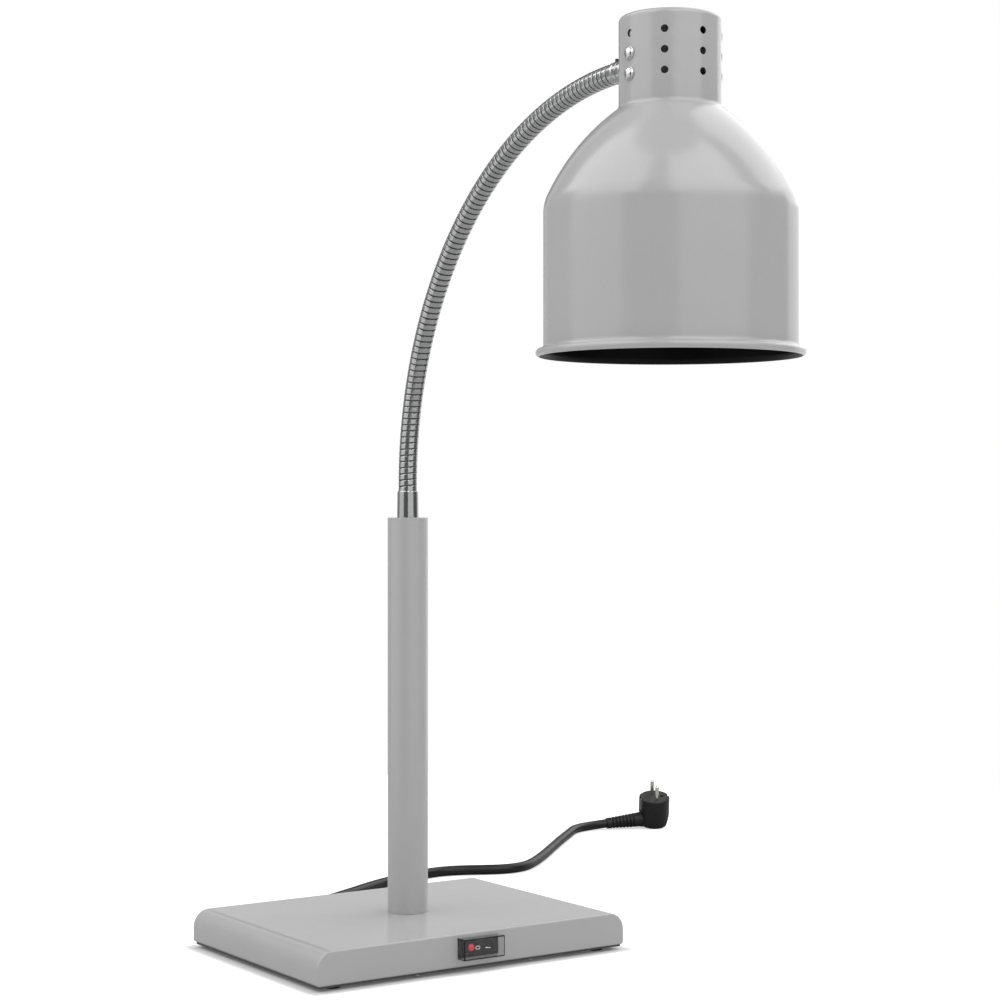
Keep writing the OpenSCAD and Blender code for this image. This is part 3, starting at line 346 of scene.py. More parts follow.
class Graph:
    """A node tree that grows by one method."""

    def __init__(self, tree):
        self.tree = tree

    def node(self, kind, settings, sockets, output=0):
        """A node of a kind: its settings first, then the values or wires of its sockets, then one
        output."""
        node = self.tree.nodes.new(kind)
        for name, value in settings.items():
            setattr(node, name, value)
        for name, value in sockets.items():
            if isinstance(value, Wire):
                self.tree.links.new(value.socket, node.inputs[name])
            else:
                node.inputs[name].default_value = value
        return Wire(self, node.outputs[output])

    def mix(self, factor, first, second):
        """A colour between two colours."""
        return self.node("ShaderNodeMix", {"data_type": "RGBA"}, {0: factor, 6: first, 7: second}, 2)


class Finish(Graph):
    """A material with one Principled shader. Constants are set on its sockets, and wires are linked to
    them."""

    def __init__(self, name, **constants):
        self.material = bpy.data.materials.new(name)
        self.material.use_nodes = True
        super().__init__(self.material.node_tree)
        self.shader = self.tree.nodes["Principled BSDF"]
        for socket, value in constants.items():
            self.shader.inputs[socket.replace("_", " ")].default_value = value
        self.place = self.node("ShaderNodeTexCoord", {}, {}, "Object")

    def noise(self, grain, detail=3.0, roughness=0.55, stretch=(1, 1, 1)):
        """Noise whose bumps are about the given number of millimetres across, longer along a stretched
        axis."""
        place = self.node("ShaderNodeMapping", {}, {"Vector": self.place, "Scale": [1 / s for s in stretch]})
        sockets = {"Vector": place, "Scale": 1 / (grain * MM), "Detail": detail, "Roughness": roughness}
        return self.node("ShaderNodeTexNoise", {}, sockets)

    def height(self):
        """The height of the surface's own place, in metres."""
        return self.node("ShaderNodeSeparateXYZ", {}, {0: self.place}, 2)

    def set(self, **wires):
        """Links wires to the shader's sockets."""
        for socket, wire in wires.items():
            self.tree.links.new(wire.socket, self.shader.inputs[socket.replace("_", " ")])
        return self

    def bump(self, height, depth):
        """A Bump node for a height from 0 to 1 that is worth the given depth in millimetres."""
        return self.set(Normal=self.node("ShaderNodeBump", {}, {"Height": height, "Distance": depth * MM}))


def shade_of(level, tint=(1.0, 1.0, 1.0)):
    """A grey of the given lightness with a tint, as a colour with alpha."""
    return (level * tint[0], level * tint[1], level * tint[2], 1.0)

# %% [markdown]
# ## Silver paint
# The base, column and shade have a satin silver powder coat. Powder melts into a film with a very shallow
# orange peel and a fine speckle, and its gloss changes a little from place to place. So one noise bends the
# surface, one speckles the colour, and a wide one moves the roughness. The shade is black inside.

# %% Make the painted finishes


def powder_coat(name, level, roughness, speckle, peel, tint=(1, 1, 1), gloss=0.5):
    """Paint whose speckle is worth a share of its colour and whose orange peel is worth a few
    micrometres."""
    paint = Finish(name, Roughness=roughness, IOR=1.5, Specular_IOR_Level=gloss)
    fine = paint.noise(0.5, 2).step(0.36, 0.64)
    wide = paint.noise(45, 3).step(0.3, 0.7)
    low, high = 1 - speckle, 1 + speckle
    colour = paint.mix(fine, shade_of(level * low, tint), shade_of(level * high, tint))
    cloudy = paint.mix(wide * 0.06, colour, shade_of(level * 1.3, tint))
    paint.set(Base_Color=cloudy, Roughness=roughness - 0.03 + 0.06 * wide)
    paint.bump(paint.noise(1.6, 2) + fine * 0.3, peel)
    return paint.material


silver_paint = powder_coat("silver_powder_coat", 0.4, 0.18, 0.03, 0.006)
black_paint = powder_coat("satin_black_paint", 0.004, 0.42, 0.25, 0.02, (1.0, 0.98, 0.96), gloss=0.12)
grey_paint = powder_coat("dark_grey_paint", 0.07, 0.5, 0.12, 0.03)
print("paints made")

# %% [markdown]
# ## Bare metal
# The neck, ferrules and screws are plated or plain steel. Turned pieces carry fine rings round their axis,
# and rolled ones a grain along it. A noise stretched in the other directions gives that grain to the
# roughness and, very shallow, to the surface. Brass and the plated pins differ only in their colour and
# grain.

# %% Make the metal finishes


def metal(name, level, tint, roughness, stretch, grain=0.3, depth=0.004, spread=0.14, stain=0.12):
    """Metal with a grain: the stretched noise moves the roughness by a spread and the colour by a
    stain."""
    steel = Finish(name, Metallic=1.0, Roughness=roughness)
    lines = steel.noise(grain, 3, 0.6, stretch).step(0.3, 0.7)
    cloud = steel.noise(9, 3).step(0.3, 0.75)
    dull = shade_of(level * (1 - stain), tint)
    bright = shade_of(level, tint)
    steel.set(
        Base_Color=steel.mix(lines * 0.5 + cloud * 0.5, dull, bright),
        Roughness=roughness + spread * (lines - 0.5) * 0.6 + spread * (cloud - 0.5) * 0.4,
    )
    steel.bump(lines, depth)
    return steel.material


COOL = (0.985, 0.99, 1.0)
neck_steel = metal("wound_neck_steel", 0.5, COOL, 0.19, (1, 1, 1), 1.2, 0.004, 0.08, 0.15)
# The groove finish is a painted shade: much darker than the crests, since little light gets into the
# grooves.
groove_shade_steel = metal("neck_groove_painted_shade", 0.1, COOL, 0.35, (1, 1, 1), 1.2, 0.004, 0.1, 0.3)
turned_steel = metal("turned_ferrule_steel", 0.43, COOL, 0.17, (60, 60, 1), 0.25, 0.0015, 0.06, 0.08)
zinc_steel = metal("zinc_plated_steel", 0.6, (0.95, 0.97, 1.0), 0.32, (1, 1, 1), 2.5, 0.01, 0.2, 0.2)
dome_chrome = metal("polished_screw_steel", 0.6, COOL, 0.1, (1, 1, 1), 0.6, 0.001, 0.05, 0.06)
rolled_steel = metal("rolled_ballast_steel", 0.2, (0.96, 0.98, 1.0), 0.5, (1, 40, 1), 0.6, 0.02, 0.2, 0.4)
black_steel = metal("blackened_screw_steel", 0.12, COOL, 0.35, (1, 1, 1), 0.5, 0.004, 0.1, 0.2)
pin_plate = metal("nickel_pin_plate", 0.66, (1.0, 0.97, 0.92), 0.2, (1, 1, 12), 0.3, 0.001, 0.08, 0.08)
brass = metal("brass", 0.62, (1.0, 0.78, 0.42), 0.25, (1, 1, 12), 0.3, 0.002, 0.1, 0.15)
print("metals made")

# %% [markdown]
# ## Rubber, plastic, ceramic and glass
# Rubber is matt with a fine pitted skin. Moulded plastic has a light spark texture and more gloss. The bulb
# is ruby glass in front of a mirrored neck, so its colour deepens from the dome up to the cap.

# %% Make the other finishes


def moulded(name, level, tint, roughness, grain, depth, spread=0.1, stain=0.2, **constants):
    """A moulded skin: a fine noise for the texture, and a wide one that moves the gloss and the colour
    a little."""
    skin = Finish(name, Roughness=roughness, **constants)
    pits = skin.noise(grain, 2, 0.6)
    wide = skin.noise(18, 2).step(0.3, 0.7)
    skin.set(
        Base_Color=skin.mix(wide, shade_of(level * (1 - stain), tint), shade_of(level * (1 + stain), tint)),
        Roughness=roughness - spread / 2 + spread * wide,
    )
    skin.bump(pits, depth)
    return skin.material


PLAIN = (1.0, 1.0, 1.0)
SATIN = {"Specular_IOR_Level": 0.25}
cord_rubber = moulded("cord_rubber", 0.009, PLAIN, 0.36, 0.6, 0.02, **SATIN)
boot_rubber = moulded("boot_rubber", 0.011, PLAIN, 0.42, 0.5, 0.03, **SATIN)
foot_rubber = moulded("foot_rubber", 0.012, PLAIN, 0.65, 0.6, 0.05, **SATIN)
plug_plastic = moulded("plug_plastic", 0.009, PLAIN, 0.3, 0.4, 0.02, **SATIN)
plug_face_plastic = moulded("plug_face_plastic", 0.035, PLAIN, 0.5, 0.35, 0.04, **SATIN)
switch_plastic = moulded("switch_plastic", 0.012, PLAIN, 0.3, 0.35, 0.012, **SATIN)
rocker_plastic = moulded("rocker_plastic", 0.014, PLAIN, 0.24, 0.5, 0.006, **SATIN)
mark_white = moulded("printed_white", 0.78, PLAIN, 0.5, 0.2, 0.005, 0.1, 0.05)
lens_red = moulded(
    "red_lens", 0.72, (1.0, 0.05, 0.09), 0.12, 0.8, 0.004, 0.04, 0.15, Coat_Weight=0.6, Coat_Roughness=0.05
)
block_plastic = moulded("terminal_block_plastic", 0.75, (1.0, 0.98, 0.93), 0.45, 0.5, 0.02, 0.1, 0.06)
sleeve_brown = moulded("brown_sleeve", 0.09, (1.0, 0.55, 0.3), 0.5, 0.5, 0.02)
ceramic = moulded("white_ceramic", 0.78, (1.0, 0.99, 0.96), 0.22, 0.9, 0.01, 0.1, 0.04, Coat_Weight=0.3)


def clear_plastic(name):
    """Clear moulding: a mirrored share, which grows with (1 - cosine) ** 5, lies over what shows
    through."""
    clear = Finish(name, Metallic=1.0, Roughness=0.05, Base_Color=shade_of(0.95))
    slant = clear.node("ShaderNodeLayerWeight", {}, {"Blend": 0.5}, "Facing")
    steep = slant * slant
    mirrored = 0.03 + 0.85 * (steep * steep * slant) + 0.02 * clear.noise(6, 2)
    through = clear.node("ShaderNodeBsdfTransparent", {}, {"Color": shade_of(0.97)})
    mirror = Wire(clear, clear.shader.outputs[0])
    both = clear.node("ShaderNodeMixShader", {}, {0: mirrored, 1: through, 2: mirror})
    clear.tree.links.new(both.socket, clear.tree.nodes["Material Output"].inputs["Surface"])
    clear.material.surface_render_method = "BLENDED"
    return clear.material


clear_wall = clear_plastic("clear_cover_wall")
# The clear box's edges are painted near black: a painted shade for the dark lines along the edges of clear
# plastic.
clear_edge_painted_shade = moulded("clear_cover_edge_painted_shade", 0.012, PLAIN, 0.2, 2.0, 0.002, **SATIN)


def ruby(name, dome_z, cap_z):
    """Ruby glass: the share of the way up the bulb turns a bright red dome into a dark mirrored neck."""
    glass = Finish(name, Roughness=0.1, IOR=1.5, Coat_Weight=0.7, Coat_Roughness=0.03)
    up = glass.height().step(dome_z * MM, cap_z * MM)
    swirl = glass.noise(14, 3).step(0.35, 0.65)
    deep = glass.mix(up, (0.42, 0.008, 0.006, 1), (0.09, 0.004, 0.004, 1))
    glass.set(
        Base_Color=glass.mix(swirl * 0.25, deep, (0.6, 0.02, 0.012, 1)),
        Metallic=up.step(0.35, 0.75) * 0.7,
        Roughness=0.07 + 0.06 * swirl,
    )
    glass.bump(glass.noise(5, 1), 0.02)
    return glass.material


bulb_low, bulb_high = corners_of("bulb_glass")
ruby_glass = ruby("ruby_glass", bulb_low[2] + 10, bulb_high[2])
print(len(bpy.data.materials), "materials so far")

# %% [markdown]
# ## Mains cord
# The cord leaves the rear wall through a rubber boot, comes down to the table and runs to the plug in loose
# curves. Its route is the list of points that the solid follows. A smooth curve goes through them, each
# stretch bending from the tangent of one point to that of the next, and a round tube is carried along it.

# %% Lay out the cord's route
cord_r = 5.5
route = np.array([
    [-40, 150, 10.5], [-40, 160, 10], [-38.5, 170, 8.5], [-35, 180, 6.3], [-29.5, 189, 4], [-22, 197, 2],
    [-12.5, 203.5, 0.7], [-1, 209.5, 0.1], [12, 216, 0], [27, 223, 0], [42, 230, 0], [58, 238, 0],
    [74, 247, 0], [90, 256, 0], [107, 266, 0], [124, 275.5, 0], [141, 284, 0], [162, 293, 0],
    [186, 302, 0], [208, 308.5, 0], [230, 312.5, 0], [248, 311.5, 0], [266, 305.5, 0], [284, 296, 0],
    [303, 288, 0], [322, 286.5, 0], [340, 292.5, 0], [358, 305, 0], [378, 322, 0], [405, 347, 0],
    [442, 383, 0], [480, 420, 0], [514, 452, 0], [540, 476.5, 0], [550.9, 484.6, 0], [563.2, 490.1, 0.1],
    [576.5, 492.9, 0.35], [590, 492.7, 0.95], [603.2, 489.6, 2.03],
])
route = route + [0, column[1], cord_r]


def smooth_curve(points, spacing):
    """Cubic stretches through the points, each leaving along half the chord of its neighbours, then
    even steps."""
    ends = np.concatenate([[2 * points[0] - points[1]], points, [2 * points[-1] - points[-2]]])
    before, here, there, after = ends[:-3], ends[1:-2], ends[2:-1], ends[3:]
    t = np.linspace(0, 1, 24, endpoint=False)[None, :, None]
    a, b, c, d = (p[:, None] for p in (before, here, there, after))
    dense = 0.5 * (2 * b + (c - a) * t + (2 * a - 5 * b + 4 * c - d) * t**2 + (3 * b - a - 3 * c + d) * t**3)
    dense = np.concatenate([dense.reshape(-1, points.shape[1]), points[-1:]])
    run = np.concatenate([[0], np.cumsum(np.linalg.norm(np.diff(dense, axis=0), axis=1))])
    even = np.linspace(0, run[-1], int(run[-1] / spacing) + 1)
    return np.stack([np.interp(even, run, line) for line in dense.T], 1), run[-1]


def tube_along(path, radius, sides=28):
    """Each ring lies square to the path: sideways is the path crossed with up, and the third direction
    follows."""
    along = np.gradient(path, axis=0)
    along /= np.linalg.norm(along, axis=1)[:, None]
    side = np.cross(along, [0, 0, 1])
    side /= np.linalg.norm(side, axis=1)[:, None]
    up = np.cross(side, along)
    angle = np.arange(sides) * 2 * math.pi / sides
    ring = np.cos(angle)[None, :, None] * side[:, None] + np.sin(angle)[None, :, None] * up[:, None]
    return grid_skin(capped(path[:, None] + radius * ring, path[0], path[-1]))


cord_path, cord_length = smooth_curve(route, 2.5)
cord_piece = make_piece(
    "cord_sheath", [tube_along(cord_path, cord_r)], [cord_rubber], "stand", ["mains_cord"]
)
print("cord length", round(cord_length, 1), "mm")

# %% [markdown]
# ## Boots
# A rubber boot keeps a cord from breaking where it enters something hard. Its body tapers towards the cord,
# and grooves across it let it bend. Both boots are turned from a profile whose grooves are a rounded wave.

# %% Make the boot in the rear wall
outlet = np.array([-40.0, rear_y, cover_low[2] + 11])


def grooved(start, end, big, small, count, depth, share=0.45, steps=14):
    """Radii along a tapered boot: the taper less a groove, which is a raised cosine over its share of
    each pitch."""
    t = np.linspace(0, 1, count * steps + 1)
    phase = (t * count) % 1
    groove = np.where(phase < share, 0.5 - 0.5 * np.cos(2 * math.pi * phase / share), 0)
    return np.stack([big + (small - big) * t - depth * np.sqrt(groove), start + (end - start) * t], 1)


def outlet_boot():
    """The flange outside the wall, the grooved taper and a lip at the cord; the neck in the wall is
    hidden."""
    bore = cord_r + 0.02
    flange = rounded([
        (bore, -1.4, 0), (7.8, -1.4, 0.2), (7.8, 0, 0), (9.4, 0.02, 0.3), (9.4, 2.4, 0.8), (7.8, 2.9, 0.4),
        (7.8, 4.6, 0),
    ])
    ribs = grooved(5, 26, 7.7, 7.0, 5, 0.9)
    lip = rounded([(6.9, 27, 0), (6.9, 31, 0.7), (bore, 31, 0)])
    return turned(np.concatenate([flange, ribs, lip]), outlet, (0, 1, 0), 64, loop=True)


cord_boot_piece = make_piece(
    "outlet_boot", [outlet_boot()], [boot_rubber], "stand", ["cord_boot"], sharp=50
)

# %% [markdown]
# ## Plug
# The angled plug lies on the table, on the cone round its back, so its face leans. It is worked out
# standing on its back and then turned. Its shell is a turned profile whose radius is cut by a slanting
# plane at the far corner and by two notches for the earth strips, and whose face dips at the earth socket.

# %% Put the plug's own directions in the frame
plug_lean, plug_lean_dir, plug_turn = (math.radians(a) for a in (18, -124.23, -19))
plug_back_r = 9.0
plug_r = 19.5
plug_h = 40.0
plug_axis_z = 10.5
plug_place = np.array([665.55, 470.6 + column[1], plug_back_r * math.sin(plug_lean)])


def leaned(directions):
    """Turns about the level axis of the lean: cosine part, cross product part and the part along the
    axis."""
    axis = np.array([-math.sin(plug_lean_dir), math.cos(plug_lean_dir), 0])
    along = (directions @ axis)[:, None] * axis
    return (
        math.cos(plug_lean) * directions
        + math.sin(plug_lean) * np.cross(axis, directions)
        + (1 - math.cos(plug_lean)) * along
    )


plug_cos, plug_sin = math.cos(plug_turn), math.sin(plug_turn)
plug_axes = leaned(np.array([[plug_cos, plug_sin, 0], [-plug_sin, plug_cos, 0], [0, 0, 1]]))


def in_plug(skin):
    """The skin moved from the plug's own directions to where the plug lies."""
    return dict(skin, points=skin["points"] @ plug_axes + plug_place)


def smooth_step(value, low, high):
    """0 below low, 1 above high, with an even slope at both ends."""
    t = np.clip((value - low) / (high - low), 0, 1)
    return t * t * (3 - 2 * t)


# %% Make the plug's shell
chamfer_x, chamfer_tilt = 8.5, math.radians(32)
notch_depth, notch_half, notch_low = 2.4, 3.2, 23.0
earth_x, earth_r, earth_depth = 10.0, 2.5, 7.0
shell_turns, wall_steps, face_steps = 288, 62, 60
wall_low, wall_high, shell_soft, face_dip = 8.0, 38.4, 0.6, 0.5
mould_z, mould_half, mould_depth = 7.2, 0.35, 0.5


def plug_shell():
    """Radius = the profile's, or less where the chamfer's plane or a notch comes in; the face dips at
    the socket."""
    cone_h = (plug_r - 2 - plug_back_r) * math.tan(plug_lean)
    outside = rounded([
        (0, 0, 0), (plug_back_r, 0, 0.6), (plug_r - 2, cone_h, 0.8), (plug_r, cone_h + 2.5, 0.8),
        (plug_r, plug_h, 0.9), (plug_r - 2, plug_h, 0),
    ])
    split = np.searchsorted(outside[:, 1], wall_low - 1)
    wall = np.stack([np.full(wall_steps, plug_r), np.linspace(wall_low, wall_high, wall_steps)], 1)
    face = np.stack([np.linspace(plug_r - 2.2, 0, face_steps), np.full(face_steps, plug_h)], 1)
    profile = np.concatenate([outside[:split], wall, outside[split:], face])
    angle = (np.arange(shell_turns) + 0.5) * 2 * math.pi / shell_turns
    radius, height = profile[:, :1] + 0 * angle, profile[:, 1:] + 0 * angle
    cosine = np.maximum(np.cos(angle), 0.05)
    plane = (chamfer_x + height * math.tan(chamfer_tilt)) / cosine
    side = np.abs(radius * np.sin(angle))
    notch = 1 - smooth_step(side, notch_half - 0.25, notch_half + 0.15)
    notch = notch * smooth_step(height, notch_low - 0.2, notch_low + 0.3) * (radius > plug_r - 3)
    rim = np.minimum(radius, plug_r - notch_depth * notch)
    near_rim, near_plane = np.exp(-rim / shell_soft), np.exp(-np.minimum(plane, 60) / shell_soft)
    softened = -shell_soft * np.log(near_rim + near_plane)
    radius = np.where((rim > 3) & (height < plug_h - 1), np.minimum(softened, rim), rim)
    mould_line = np.exp(-(((height - mould_z) / mould_half) ** 2)) * (radius > plug_r - 9)
    radius = radius - mould_depth * mould_line
    x, y = radius * np.cos(angle), radius * np.sin(angle)
    on_face = height > plug_h - 0.01
    socket = 1 - smooth_step(np.hypot(x - earth_x, y), earth_r - 0.25, earth_r + 0.05)
    ring = smooth_step(np.hypot(x, y), plug_r - 2.9, plug_r - 2.3)
    height = height - on_face * (earth_depth * socket + face_dip * (1 - ring))
    zones = np.arange(len(profile)) >= len(profile) - face_steps
    return grid_skin(np.stack([x, y, height], 2), zones=zones)


def plug_neck():
    """The round arm that the cord comes through, with a flared collar against the boot."""
    profile = rounded([
        (0, -plug_r - 0.5, 0), (9.4, -plug_r - 0.5, 0.8), (9.9, -plug_r + 3.5, 0.6),
        (9.3, -plug_r + 4.6, 0.5), (10.4, -6, 0), (0, -6, 0),
    ])
    return turned(profile, np.array([0, 0, plug_axis_z]), (1, 0, 0), 72)


plug_shell_piece = make_piece(
    "plug_shell", [in_plug(plug_shell()), in_plug(plug_neck())], [plug_plastic, plug_face_plastic], "stand",
    ["plug_body"], sharp=38,
)

# %% Make the plug's pins, earth strips and boot
pin_gap, pin_r, pin_l, pin_seat = 19.0, 2.4, 19.0, 12.0
strip_low, strip_high = 23.1, 39.1


def plug_pin(side):
    """A pin with a round tip, down to its seat in the shell."""
    tip = rounded([
        (0, -pin_seat, 0), (2, -pin_seat, 0), (2, 0.2, 0.1), (pin_r, 0.4, 0.1), (pin_r, pin_l, 2.1),
        (0, pin_l, 0),
    ])
    return in_plug(turned(tip, np.array([0, side * pin_gap / 2, plug_h]), (0, 0, 1), 40))


def earth_strip(side):
    """A flat strip in its notch, with rounded edges."""
    centre = np.array([side * (plug_r - notch_depth + 0.5), 0, 0])
    return in_plug(stack(block_rows(0.5, 2.8, strip_low, strip_high, 0.3, 0.2, 5, 0.1), centre))


def plug_boot():
    """Ribs that shrink towards the cord, with a plain ring at the plug."""
    ribs = grooved(-plug_r - 9, -plug_r - 41, 8.9, 6.9, 7, 1.5, 0.5)
    plain = rounded([
        (0, -plug_r + 0.3, 0), (9.2, -plug_r + 0.3, 0.5), (9.2, -plug_r - 2, 0.4), (8.9, -plug_r - 6, 0),
    ])
    end = rounded([(6.8, -plug_r - 42, 0), (6.7, -plug_r - 45, 0.8), (0, -plug_r - 45, 0)])
    return in_plug(turned(np.concatenate([plain, ribs, end]), np.array([0, 0, plug_axis_z]), (1, 0, 0), 72))


pins_piece = make_piece(
    "plug_contacts", [plug_pin(-1), plug_pin(1)], [pin_plate], "stand", ["plug_pins"]
)
strips_piece = make_piece(
    "earth_strips", [earth_strip(-1), earth_strip(1)], [zinc_steel], "stand", ["plug_earth"]
)
plug_boot_piece = make_piece(
    "plug_strain_relief", [plug_boot()], [boot_rubber], "stand", ["plug_boot"], sharp=50
)

# %% [markdown]
# ## Base cover
# The base is one sheet bent down along both sides, with flat front and back walls let in and ground smooth,
# so the sides are round and the front and back edges are crisp. It is a stack of rounded rectangles: each
# level is drawn in by the arc of the big bend at the sides and by the small ground edge in front and
# behind.

# %% Make the base cover
cover_bend_r, cover_toe_r, cover_t, ground_r = 16.0, 3.0, 1.5, 1.6
flange_w = 11.0
cover_half = (cover_high - cover_low) / 2
cover_foot = np.array([*middle_of("base_cover")[:2], 0])


def drawn_in(distance, radius):
    """How far an arc lies inside its edge at a distance from it: the radius less the circle's height
    there."""
    left = radius - np.minimum(distance, radius)
    return radius - np.sqrt(np.maximum(radius**2 - left**2, 0))


def cover_levels(inset):
    """Half width, half depth, corner radius and height of each level of the surface that lies inset in
    the sheet."""
    low, high = cover_low[2] + inset, cover_high[2] - inset
    bend, toe, ground = (max(r - inset, 0.4) for r in (cover_bend_r, cover_toe_r, ground_r))
    sweep = 1 - np.cos(np.linspace(0, math.pi / 2, 15))
    height = np.unique(np.round(np.concatenate([
        low + toe * sweep, low + ground * sweep, high - bend * sweep, high - ground * sweep,
        [low + toe + 0.5, high - bend - 0.5, high - ground - 0.3],
    ]), 3))
    half_w = cover_half[0] - inset - np.maximum(drawn_in(height - low, toe), drawn_in(high - height, bend))
    ground_in = np.maximum(drawn_in(height - low, ground), drawn_in(high - height, ground))
    half_d = cover_half[1] - inset - ground_in
    corner = np.full(len(height), ground)
    levels = np.stack([half_w, half_d, corner, height], 1)
    flat = [[half_w[-1] - 0.8, half_d[-1] - 0.8, 0.8, high], [0, 0, 0, high]]
    return np.concatenate([levels, flat])


outer, inner = cover_levels(0), cover_levels(cover_t)
flange = np.array([
    [cover_half[0] - flange_w, cover_half[1] - flange_w, 1, cover_low[2] + cover_t],
    [cover_half[0] - flange_w, cover_half[1] - flange_w, 1, cover_low[2]],
])
make_piece(
    "base_shell", [stack(np.concatenate([inner[::-1], flange, outer]), cover_foot)], [silver_paint], "stand",
    ["base_cover"],
)

# %% [markdown]
# ## Screws and feet
# Small pan screws hold the bottom plate and the feet. A head is turned, and its face dips where the cross
# of the driver goes in. Each foot is a rubber ring with its screw sunk in it.

# %% Make the pan screws and the feet


def pan_screw(foot, direction, head_r, head_h, shank_r, shank_l):
    """The head's height less a dip inside a cross, whose arms are bands round the two lines across it."""
    brim = [(0, 0, 0), (head_r, 0, 0), (head_r, head_h, head_h * 0.55), (head_r * 0.55, head_h, 0)]
    outline = rounded(brim, steps=5)
    face_r = np.linspace(head_r * 0.5, 0, 9)
    profile = np.concatenate([outline, np.stack([face_r, np.full(9, head_h)], 1)])
    head_skin = turned(profile, np.zeros(3), turns=48)
    x, y, z = head_skin["points"].T
    arm, reach = head_r * 0.13, head_r * 0.45
    near, far = np.minimum(np.abs(x), np.abs(y)), np.maximum(np.abs(x), np.abs(y))
    dip = (1 - smooth_step(near, arm * 0.7, arm * 1.2)) * (1 - smooth_step(far, reach * 0.8, reach))
    points = np.stack([x, y, z - 0.6 * head_h * dip * (z > head_h * 0.9)], 1)
    shank_line = rounded([(0, -shank_l, 0), (shank_r, -shank_l, 0.3), (shank_r, 0.1, 0), (0, 0.1, 0)])
    shank = turned(shank_line, np.zeros(3))
    return [
        dict(skin, points=skin["points"] @ axes_along(direction) + foot)
        for skin in (dict(head_skin, points=points), shank)
    ]


foot_low, foot_high = corners_of("rubber_feet")
foot_r = 8.0
feet_x, feet_y = ((foot_low[axis] + foot_r, foot_high[axis] - foot_r) for axis in (0, 1))
feet_xy = [(x, y) for x in feet_x for y in feet_y]
foot_ring = rounded([
    (2.4, 1.6, 0), (3.8, 1.6, 0), (3.8, 0, 0.3), (foot_r, 0, 0.7), (foot_r, 3, 0.3), (2.4, 3, 0),
], loop=True)
make_piece(
    "rubber_foot_rings", [turned(foot_ring, np.array([x, y, 0]), loop=True) for x, y in feet_xy],
    [foot_rubber], "stand", ["rubber_feet"],
)
down = (0, 0, -1)
make_piece(
    "foot_pan_screws",
    [skin for x, y in feet_xy for skin in pan_screw(np.array([x, y, 1.6]), down, 3.5, 0.95, 2, 6)],
    [zinc_steel], "stand", ["foot_screws"],
)
lip_mid = flange_w / 2 + 0.7
plate_low = corners_of("bottom_plate")[0]
screw_xy = [(sx * 61, sy * (cover_half[1] - lip_mid)) for sx in (-1, 1) for sy in (-1, 1)]
screw_xy += [(sx * (cover_half[0] - lip_mid), sy * 58) for sx in (-1, 1) for sy in (-1, 1)]
make_piece(
    "cover_pan_screws",
    [
        skin for x, y in screw_xy
        for skin in pan_screw(np.array([x, y, plate_low[2]]) + cover_foot, down, 3.5, 1.5, 2, 6)
    ],
    [zinc_steel], "stand", ["cover_screws"],
)

# %% [markdown]
# ## Column and ferrules
# The column is a length of tube with its top edge broken. The ferrules are turned steel sleeves that grip
# the neck: each tapers a little towards the neck and is chamfered at its mouth. The lower one is plain, and
# the upper one has rings like the neck's own ribs, so that the neck seems to run right up to the collar.

# %% Make the column, its bush and the ferrules
tube_wall = 2.0
tube_edge = rounded([
    (column_r - tube_wall, tube_low[2], 0), (column_r, tube_low[2], 0.2), (column_r, column_top, 0.6),
    (column_r - tube_wall, column_top, 0.3),
], loop=True)
on_column = np.array([*column[:2], 0])
make_piece(
    "column_skin", [turned(tube_edge, on_column, turns=128, loop=True)], [silver_paint], "stand",
    ["column_tube"],
)
bush_ring = rounded([(6.1, -16, 0), (16.98, -16, 0.3), (16.98, 0, 0.4), (6.1, 0, 0.2)], loop=True)
make_piece(
    "top_bush_ring", [turned(bush_ring, on_column + [0, 0, column_top], loop=True)], [zinc_steel], "stand",
    ["column_bush"],
)
neck_r, neck_root_r = 8.75, 7.65
bend_z = tube_high[2] + 32
bend_r = arm_z - bend_z
quarter = bend_r * math.pi / 2
rib_pitch = quarter / 90


def ferrule(foot, direction, sleeve_l, tail_l, mouth_r, ring_depth):
    """A threaded tail, a shoulder and a sleeve that narrows towards its chamfered mouth. Rings round
    the sleeve are smooth steps down to the given depth, a rib pitch apart, counted back from the
    mouth."""
    thread = np.arange(0, tail_l - 1, 0.25)[:, None]
    tail = np.concatenate([6 - 0.35 * (0.5 - 0.5 * np.cos(2 * math.pi * thread)), thread - tail_l], 1)
    height = np.arange(1, sleeve_l - 0.4, 0.33)
    from_crest = np.abs(2 * ((sleeve_l - height) / rib_pitch % 1) - 1)
    radius = 10.1 + (mouth_r - 10.1) * height / sleeve_l - ring_depth * smooth_step(from_crest, 0.68, 1)
    sleeve = np.stack([radius, height], 1)
    mouth = rounded([
        (mouth_r - 0.3, sleeve_l, 0), (neck_root_r, sleeve_l, 0), (neck_root_r, 4.8, 0), (4, 4.8, 0),
        (4, -tail_l, 0),
    ])
    profile = np.concatenate([tail, rounded([(6, 0, 0), (10.1, 0, 0.4), (10.1, 0.7, 0)]), sleeve, mouth])
    return turned(profile, foot, direction, 96, loop=True)


collar_rear = np.array([column[0], head[1] + collar_r, arm_z])
make_piece(
    "lower_ferrule_sleeve", [ferrule(on_column + [0, 0, column_top], (0, 0, 1), 25, 18, 9.75, 0)],
    [turned_steel], "stand", ["lower_ferrule"],
)
make_piece(
    "upper_ferrule_sleeve", [ferrule(collar_rear, (0, 1, 0), 32, 9, 9.0, 0.6)], [neck_steel], "head",
    ["upper_ferrule"],
)


